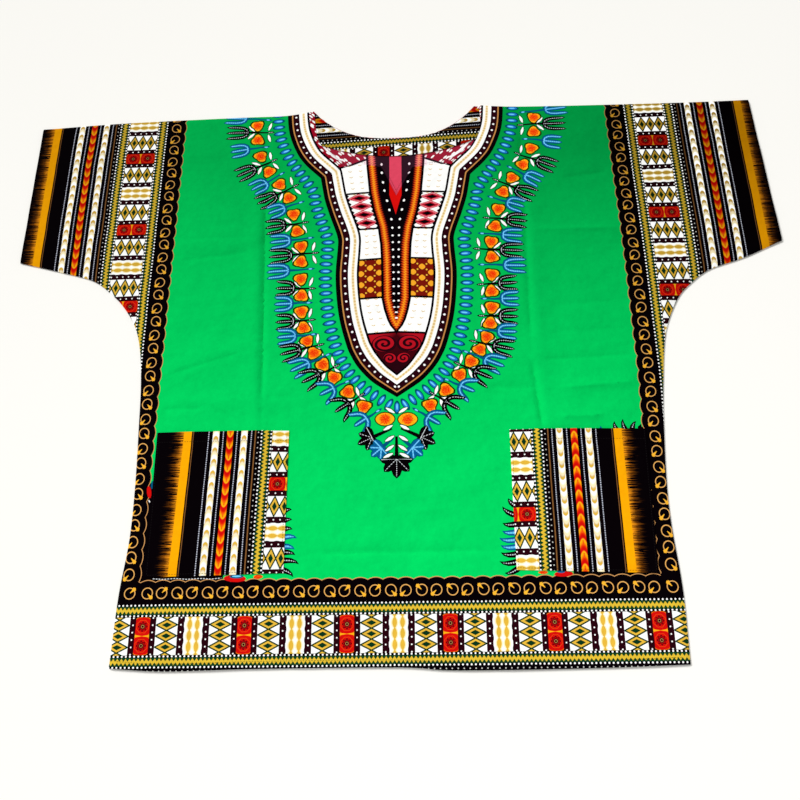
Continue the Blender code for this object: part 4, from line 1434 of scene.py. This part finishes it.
def makeSheet(name, flat, faces, tops, shapes, under, wrongUp=False):
    # a thin shell from the cut triangles; the printed side is up, or down where wrongUp is set
    names = ["ground"] + [shape["ink"] for shape in shapes]
    used = sorted(set(names[top] for top in tops))
    mesh = bpy.data.meshes.new(name)
    mesh.from_pydata([(x, y, z) for (x, y), z in zip(flat, under + lay["cloth"])], [], faces.tolist())
    right = [rightSides[inkName] for inkName in used]
    wrong = [wrongSides.get(inkName, wrongSides["ground"]) for inkName in used]
    for cloth in (wrong + right) if wrongUp else (right + wrong):
        mesh.materials.append(cloth)
    slots = np.array([used.index(names[top]) for top in tops], dtype=np.int32)
    mesh.polygons.foreach_set("material_index", slots)
    corners = flat[faces.ravel()]
    bands = corners.copy()
    for index in set(tops.tolist()):
        if index and shapes[index - 1]["band"]:
            chosen = np.repeat(tops == index, 3)
            bands[chosen] = shapes[index - 1]["band"](corners[chosen])
    for chart, values in (("cut", corners), ("band", bands)):
        mesh.uv_layers.new(name=chart).data.foreach_set("uv", values.ravel().astype(np.float32))
    piece = addMesh(name, mesh)
    bpy.ops.object.mode_set(mode="EDIT")
    bpy.ops.mesh.select_all(action="SELECT")
    bpy.ops.mesh.delete_loose()
    bpy.ops.object.mode_set(mode="OBJECT")
    shell = piece.modifiers.new("wall", "SOLIDIFY")
    shell.thickness = lay["cloth"]
    shell.offset = -1
    shell.material_offset = len(used)
    shell.material_offset_rim = len(used) if wrongUp else 0
    bpy.ops.object.modifier_apply(modifier="wall")
    bpy.ops.object.shade_smooth_by_angle(angle=math.radians(50))
    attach(piece, "root")
    print(name, "made:", len(piece.data.polygons), "faces")
    return piece


def flatArea(flat, faces):
    a, b, c = flat[faces[:, 0]], flat[faces[:, 1]], flat[faces[:, 2]]
    return float(np.abs((b - a)[:, 0] * (c - a)[:, 1] - (b - a)[:, 1] * (c - a)[:, 0]).sum() / 2)


front = {
    "node": "front_panel", "spacing": 0.0052, "slot": "panel_cloth",
    # extra points down the neck panel's mirror line: from y, to y, spacing
    "centre": (-0.058, 0.250, 0.003),
}
back = {
    "node": "back_panel", "spacing": 0.0085, "slot": "panel_cloth",
    # how far its sewn edges lie in, from how near a seam, and full how far from an open edge
    "seamInset": 0.0014, "seamWithin": 1e-4, "openReach": 0.008,
    # its underside: least height, lift away from the neck, reach of that, and its waves
    "low": 0.00002, "lift": 0.00020, "liftReach": 0.05, "wave": (0.03, 0.5, 2.2),
}
facing = {
    "node": "back_neck_facing", "spacing": 0.004, "slot": "border_cloth",
    "inset": 0.0012, "low": 0.322, "rise": 0.027, "half": 0.121, "endInset": 0.002, "tuck": 0.005,
    "endLow": 0.350, "endHigh": 0.400, "bandStart": 414.8, "bandLevel": 348.2, "bandTilt": 0.052,
    "bandPhase": 45, "stripSize": (0.30, 0.036), "around": (-0.2, 0.2, 0.28, 0.45, 0.01),
    "topRoll": (0.0005, 0.006), "wave": (0.02, 0.00012, 9.0),
}
pockets = {
    "left_pocket": {
        "corners": ((-317, -108), (-142, -109), (-142, -294), (-315, -297)),
        "inner": -142, "way": -1, "up": 1, "phase": -118.5, "lean": 0.027, "leanAt": -226,
    },
    "right_pocket": {
        "corners": ((146, -113), (322, -115), (317, -300), (145, -294)),
        "inner": 148.5, "way": 1, "up": -1, "phase": -163, "lean": 0.0, "leanAt": 0,
    },
}
pocketCut = {
    "spacing": 0.0038, "start": 383, "slot": "border_cloth", "step": 0.02,
    "around": (-0.4, 0.4, -0.35, -0.05, 0.02),
    # the mouth's gape and how deep it goes, the puff, the waves and where they are full
    "gape": 0.0016, "gapeDepth": 0.06, "puff": (0.00055, 0.02), "wave": (0.028, 0.0006, 4.4),
    "waveFrom": 0.03,
    # the mouth's fold: height, middle and half width; and the roll of the sewn edges
    "fold": (0.00022, 0.007, 0.0085), "roll": (0.00045, 0.004),
}


def makeFront():
    centre = [(0.0, y) for y in np.arange(*front["centre"])]
    flat, faces, tops = cutOut(frontOutline, frontShapes, front["spacing"], centre + creaseSpots())
    piece = makeSheet("front_cloth", flat, faces, tops, frontShapes, frontUnder(flat))
    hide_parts(front["node"])
    flatArea(flat, faces)


def insetSeams(loop, inset):
    # the sewn edges lie a little inside the front's, which rolls over them
    points = np.array(loop)
    normal = normals(np.roll(points, -1, axis=0) - np.roll(points, 1, axis=0))
    toSeam = nearest(points, seams.values())
    toOpen = nearest(points, (hemLine, leftEnd, rightEnd, backNeck))
    share = (toSeam < back["seamWithin"]) * easeIn(toOpen / back["openReach"])
    return [tuple(p) for p in points + normal * (inset * share)[:, None]]


def makeBack():
    outline = insetSeams(backOutline, back["seamInset"])
    flat, faces, tops = cutOut(outline, backShapes, back["spacing"])
    lift = back["lift"] * easeIn(nearest(flat, (backNeck,)) / back["liftReach"])
    under = back["low"] + lift * (0.5 + ripple(flat, *back["wave"]))
    piece = makeSheet("back_cloth", flat, faces, tops, backShapes, under, True)
    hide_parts(back["node"])
    flatArea(flat, faces)


def facingBand(points):
    # the strip was cut so that its bands run across it; the ladder is at its lower edge
    x, y = points[:, 0], points[:, 1]
    across = facing["bandStart"] * mm + (y - facing["bandLevel"] * mm) - x * facing["bandTilt"]
    return np.stack([across, x - facing["bandPhase"] * mm], 1)


def makeFacing():
    half = facing["half"]
    upper = backNeckLine(half, -half, facing["inset"])
    ends = []
    for side, outward in (("left", -1), ("right", 1)):
        line = smoothLine(oneSide(cut["neckSide"], side), step)
        kept = [(x, y) for x, y in line if facing["endLow"] < y < facing["endHigh"]]
        ends.append([(x + outward * facing["tuck"], y) for x, y in kept])
    lowHalf = half - facing["endInset"]
    across = np.linspace(-lowHalf, lowHalf, cut["backNeckPoints"])
    lower = [(x, facing["low"] + facing["rise"] * (x / half) ** 2) for x in across]
    outline = upper + ends[0] + lower + ends[1][::-1]
    whole = {"outline": block(*facing["around"]), "ink": "border", "band": facingBand}
    flat, faces, tops = cutOut(outline, [whole], facing["spacing"])
    depth, reach = facing["topRoll"]
    under = lay["panelWall"] + lay["seamGap"] - depth * easeIn(1 - nearest(flat, (upper,)) / reach)
    under = under + ripple(flat, *facing["wave"])
    piece = makeSheet("facing_cloth", flat, faces, tops, [whole], under)
    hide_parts(facing["node"])
    flatArea(flat, faces)


def pocketBand(pocket):
    def band(points):
        moved = points[:, 0] - pocket["lean"] * (points[:, 1] - pocket["leanAt"] * mm)
        across = pocketCut["start"] * mm + pocket["way"] * (moved - pocket["inner"] * mm)
        return np.stack([across, pocket["up"] * (points[:, 1] - pocket["phase"] * mm)], 1)
    return band


def brokenLine(corners, step):
    # straight runs from corner to corner, both ends included
    line = [tuple(corners[0])]
    for start, end in zip(corners, corners[1:]):
        line.extend(straightLine(start, end, step)[1:])
    return line


def pocketUnder(pocket, points):
    # height of a pocket's underside: it gapes at the mouth, puffs up a little and is sewn down on three sides
    corners = np.array(pocket["corners"]) * mm
    mouth = corners[:, 1].max()
    left, right = corners[:, 0].min(), corners[:, 0].max()
    across = np.clip((points[:, 0] - left) / (right - left), 0, 1)
    down = np.clip((mouth - points[:, 1]) / pocketCut["gapeDepth"], 0, 1)
    gape = pocketCut["gape"] * np.sin(math.pi * across) ** 2 * (1 - down) ** 2
    toSewn = nearest(points, (brokenLine(corners[[1, 2, 3, 0]], pocketCut["step"]),))
    toMouth = nearest(points, (brokenLine(corners[:2], pocketCut["step"]),))
    height, reach = pocketCut["puff"]
    puff = height * easeIn(toSewn / reach)
    puff = puff + ripple(points, *pocketCut["wave"]) * easeIn(toSewn / pocketCut["waveFrom"])
    height, middle, half = pocketCut["fold"]
    folded = height * easeIn(1 - np.abs(toMouth - middle) / half)
    depth, reach = pocketCut["roll"]
    lip = -depth * easeIn(1 - toSewn / reach)
    return frontUnder(points) + (lay["panelWall"] + lay["seamGap"]) + gape + puff + folded + lip


def makePocket(name):
    pocket = pockets[name]
    corners = [(x * mm, y * mm) for x, y in pocket["corners"]]
    whole = {"outline": block(*pocketCut["around"]), "ink": "border", "band": pocketBand(pocket)}
    flat, faces, tops = cutOut(closedLoop(corners, pocketCut["spacing"]), [whole], pocketCut["spacing"])
    piece = makeSheet(name + "_cloth", flat, faces, tops, [whole], pocketUnder(pocket, flat))
    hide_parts(name)
    flatArea(flat, faces)


stitching = {
    "length": 0.0026, "pitch": 0.0034, "thick": 0.00042, "slot": "sewing_thread",
    # lines of stitches, in from an edge; the neck's, the hem's and the sleeves' leave out a few end points
    "hemUp": 0.0085, "sleeveIn": 0.010, "neckOut": 0.0035, "leftOut": 2, "neckLeftOut": 3,
    "pocketIn": 0.0026, "pocketHalf": 0.09, "mouthDown": 0.0135, "mouthIn": 0.003, "step": 0.003,
    # one stitch, as shares of its length and thickness: bends, tapered ends and how deep they dip
    "bends": (-0.28, 0.28), "endFrom": 0.4, "taper": 0.45, "dip": 0.75, "flatness": 0.8, "rise": 0.12,
    # how far apart its direction is read off along the line
    "look": 0.001,
    "ply": 4200.0, "pale": (0.012, 0.011, 0.011, 1), "bump": (0.4, 0.0001), "roughness": 0.85, "shine": 0.1,
}


def threadCloth():
    thread, shader, start, here = newCloth("sewingThread")
    ply = here.stretched(*(stitching["ply"],) * 3).noise(1.0, 1.0)
    start.mix(ply, "thread", stitching["pale"]).into(shader, "Base Color")
    ply.bump(*stitching["bump"]).into(shader, "Normal")
    shader.inputs["Roughness"].default_value = stitching["roughness"]
    shader.inputs["Specular IOR Level"].default_value = stitching["shine"]
    return thread


def oneStitch():
    # a short length of thread: both ends taper and go down into the cloth
    deselect()
    bpy.ops.mesh.primitive_cylinder_add(vertices=6, radius=0.5, depth=1.0, rotation=(0, math.pi / 2, 0))
    bpy.ops.object.transform_apply(location=False, rotation=True, scale=False)
    bpy.ops.object.mode_set(mode="EDIT")
    for bend in stitching["bends"]:
        bpy.ops.mesh.select_all(action="SELECT")
        bpy.ops.mesh.bisect(plane_co=(bend, 0, 0), plane_no=(1, 0, 0))
    bpy.ops.object.mode_set(mode="OBJECT")
    stitch = bpy.context.object
    for vert in stitch.data.vertices:
        if abs(vert.co.x) > stitching["endFrom"]:
            vert.co.y *= stitching["taper"]
            vert.co.z = vert.co.z * stitching["taper"] - stitching["dip"]
    places = np.array([tuple(vert.co) for vert in stitch.data.vertices])
    faces = [tuple(face.vertices) for face in stitch.data.polygons]
    bpy.data.objects.remove(stitch, do_unlink=True)
    return places, faces


def sewLine(name, lines, under, thread):
    # copies of one stitch, end to end along each line, lying on a cloth with the given underside
    places, faces = oneStitch()
    long, thick, look = stitching["length"], stitching["thick"], stitching["look"]
    allPlaces, allFaces = [], []
    for line in lines:
        line = np.array(line, dtype=float)
        lengths = lengthsAlong(line)
        spots = np.arange(stitching["pitch"] / 2, lengths[-1], stitching["pitch"])
        behind, at, ahead = [readOff(spots + aside, lengths, line) for aside in (-look, 0, look)]
        run = (ahead - behind) / np.maximum(np.linalg.norm(ahead - behind, axis=1), 1e-9)[:, None]
        for (x, y), (c, s), z in zip(at, run, under(at) + lay["cloth"]):
            first = len(allPlaces)
            for px, py, pz in places:
                a, b = px * long, py * thick
                up = (pz * stitching["flatness"] + stitching["rise"]) * thick
                allPlaces.append((x + a * c - b * s, y + a * s + b * c, z + up))
            allFaces.extend(tuple(first + index for index in face) for face in faces)
    mesh = bpy.data.meshes.new(name)
    mesh.from_pydata(allPlaces, [], allFaces)
    mesh.materials.append(thread)
    piece = addMesh(name, mesh)
    bpy.ops.object.shade_smooth_by_angle(angle=math.radians(60))
    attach(piece, "root")
    print(name, "made:", len(allFaces), "faces")


def shifted(line, distance, skip):
    # a line beside this one, to its left by the distance, with a few points left out at both ends
    line = np.array(line, dtype=float)
    return (line + normals(np.gradient(line, axis=0)) * distance)[skip:len(line) - skip]


def sewEverything():
    thread = threadCloth()
    skip, inwards = stitching["leftOut"], stitching["sleeveIn"]
    sewLine("hem_stitches", [shifted(hemLine, stitching["hemUp"], skip)], frontUnder, thread)
    sleeves = [shifted(end, inwards, skip) for end in (rightEnd, leftEnd)]
    sewLine("sleeve_stitches", sleeves, frontUnder, thread)
    neck = shifted(frontNeck, -stitching["neckOut"], stitching["neckLeftOut"])
    sewLine("neck_stitches", [neck], frontUnder, thread)
    for name, pocket in pockets.items():
        corners = np.array(pocket["corners"]) * mm
        middle = corners.mean(0)
        closer = 1 - stitching["pocketIn"] / stitching["pocketHalf"]
        inner = [middle + (corner - middle) * closer for corner in corners]
        sides = brokenLine([inner[k] for k in (0, 3, 2, 1)], stitching["step"])
        drop, inset = np.array((0, -stitching["mouthDown"])), (stitching["mouthIn"], 0)
        mouth = straightLine(corners[0] + drop + inset, corners[1] + drop - inset, stitching["step"])
        sewLine(name + "_stitches", [sides, mouth], lambda points: pocketUnder(pocket, points), thread)


makeBack()
makeFacing()
makeFront()
for pocketName in pockets:
    makePocket(pocketName)
sewEverything()
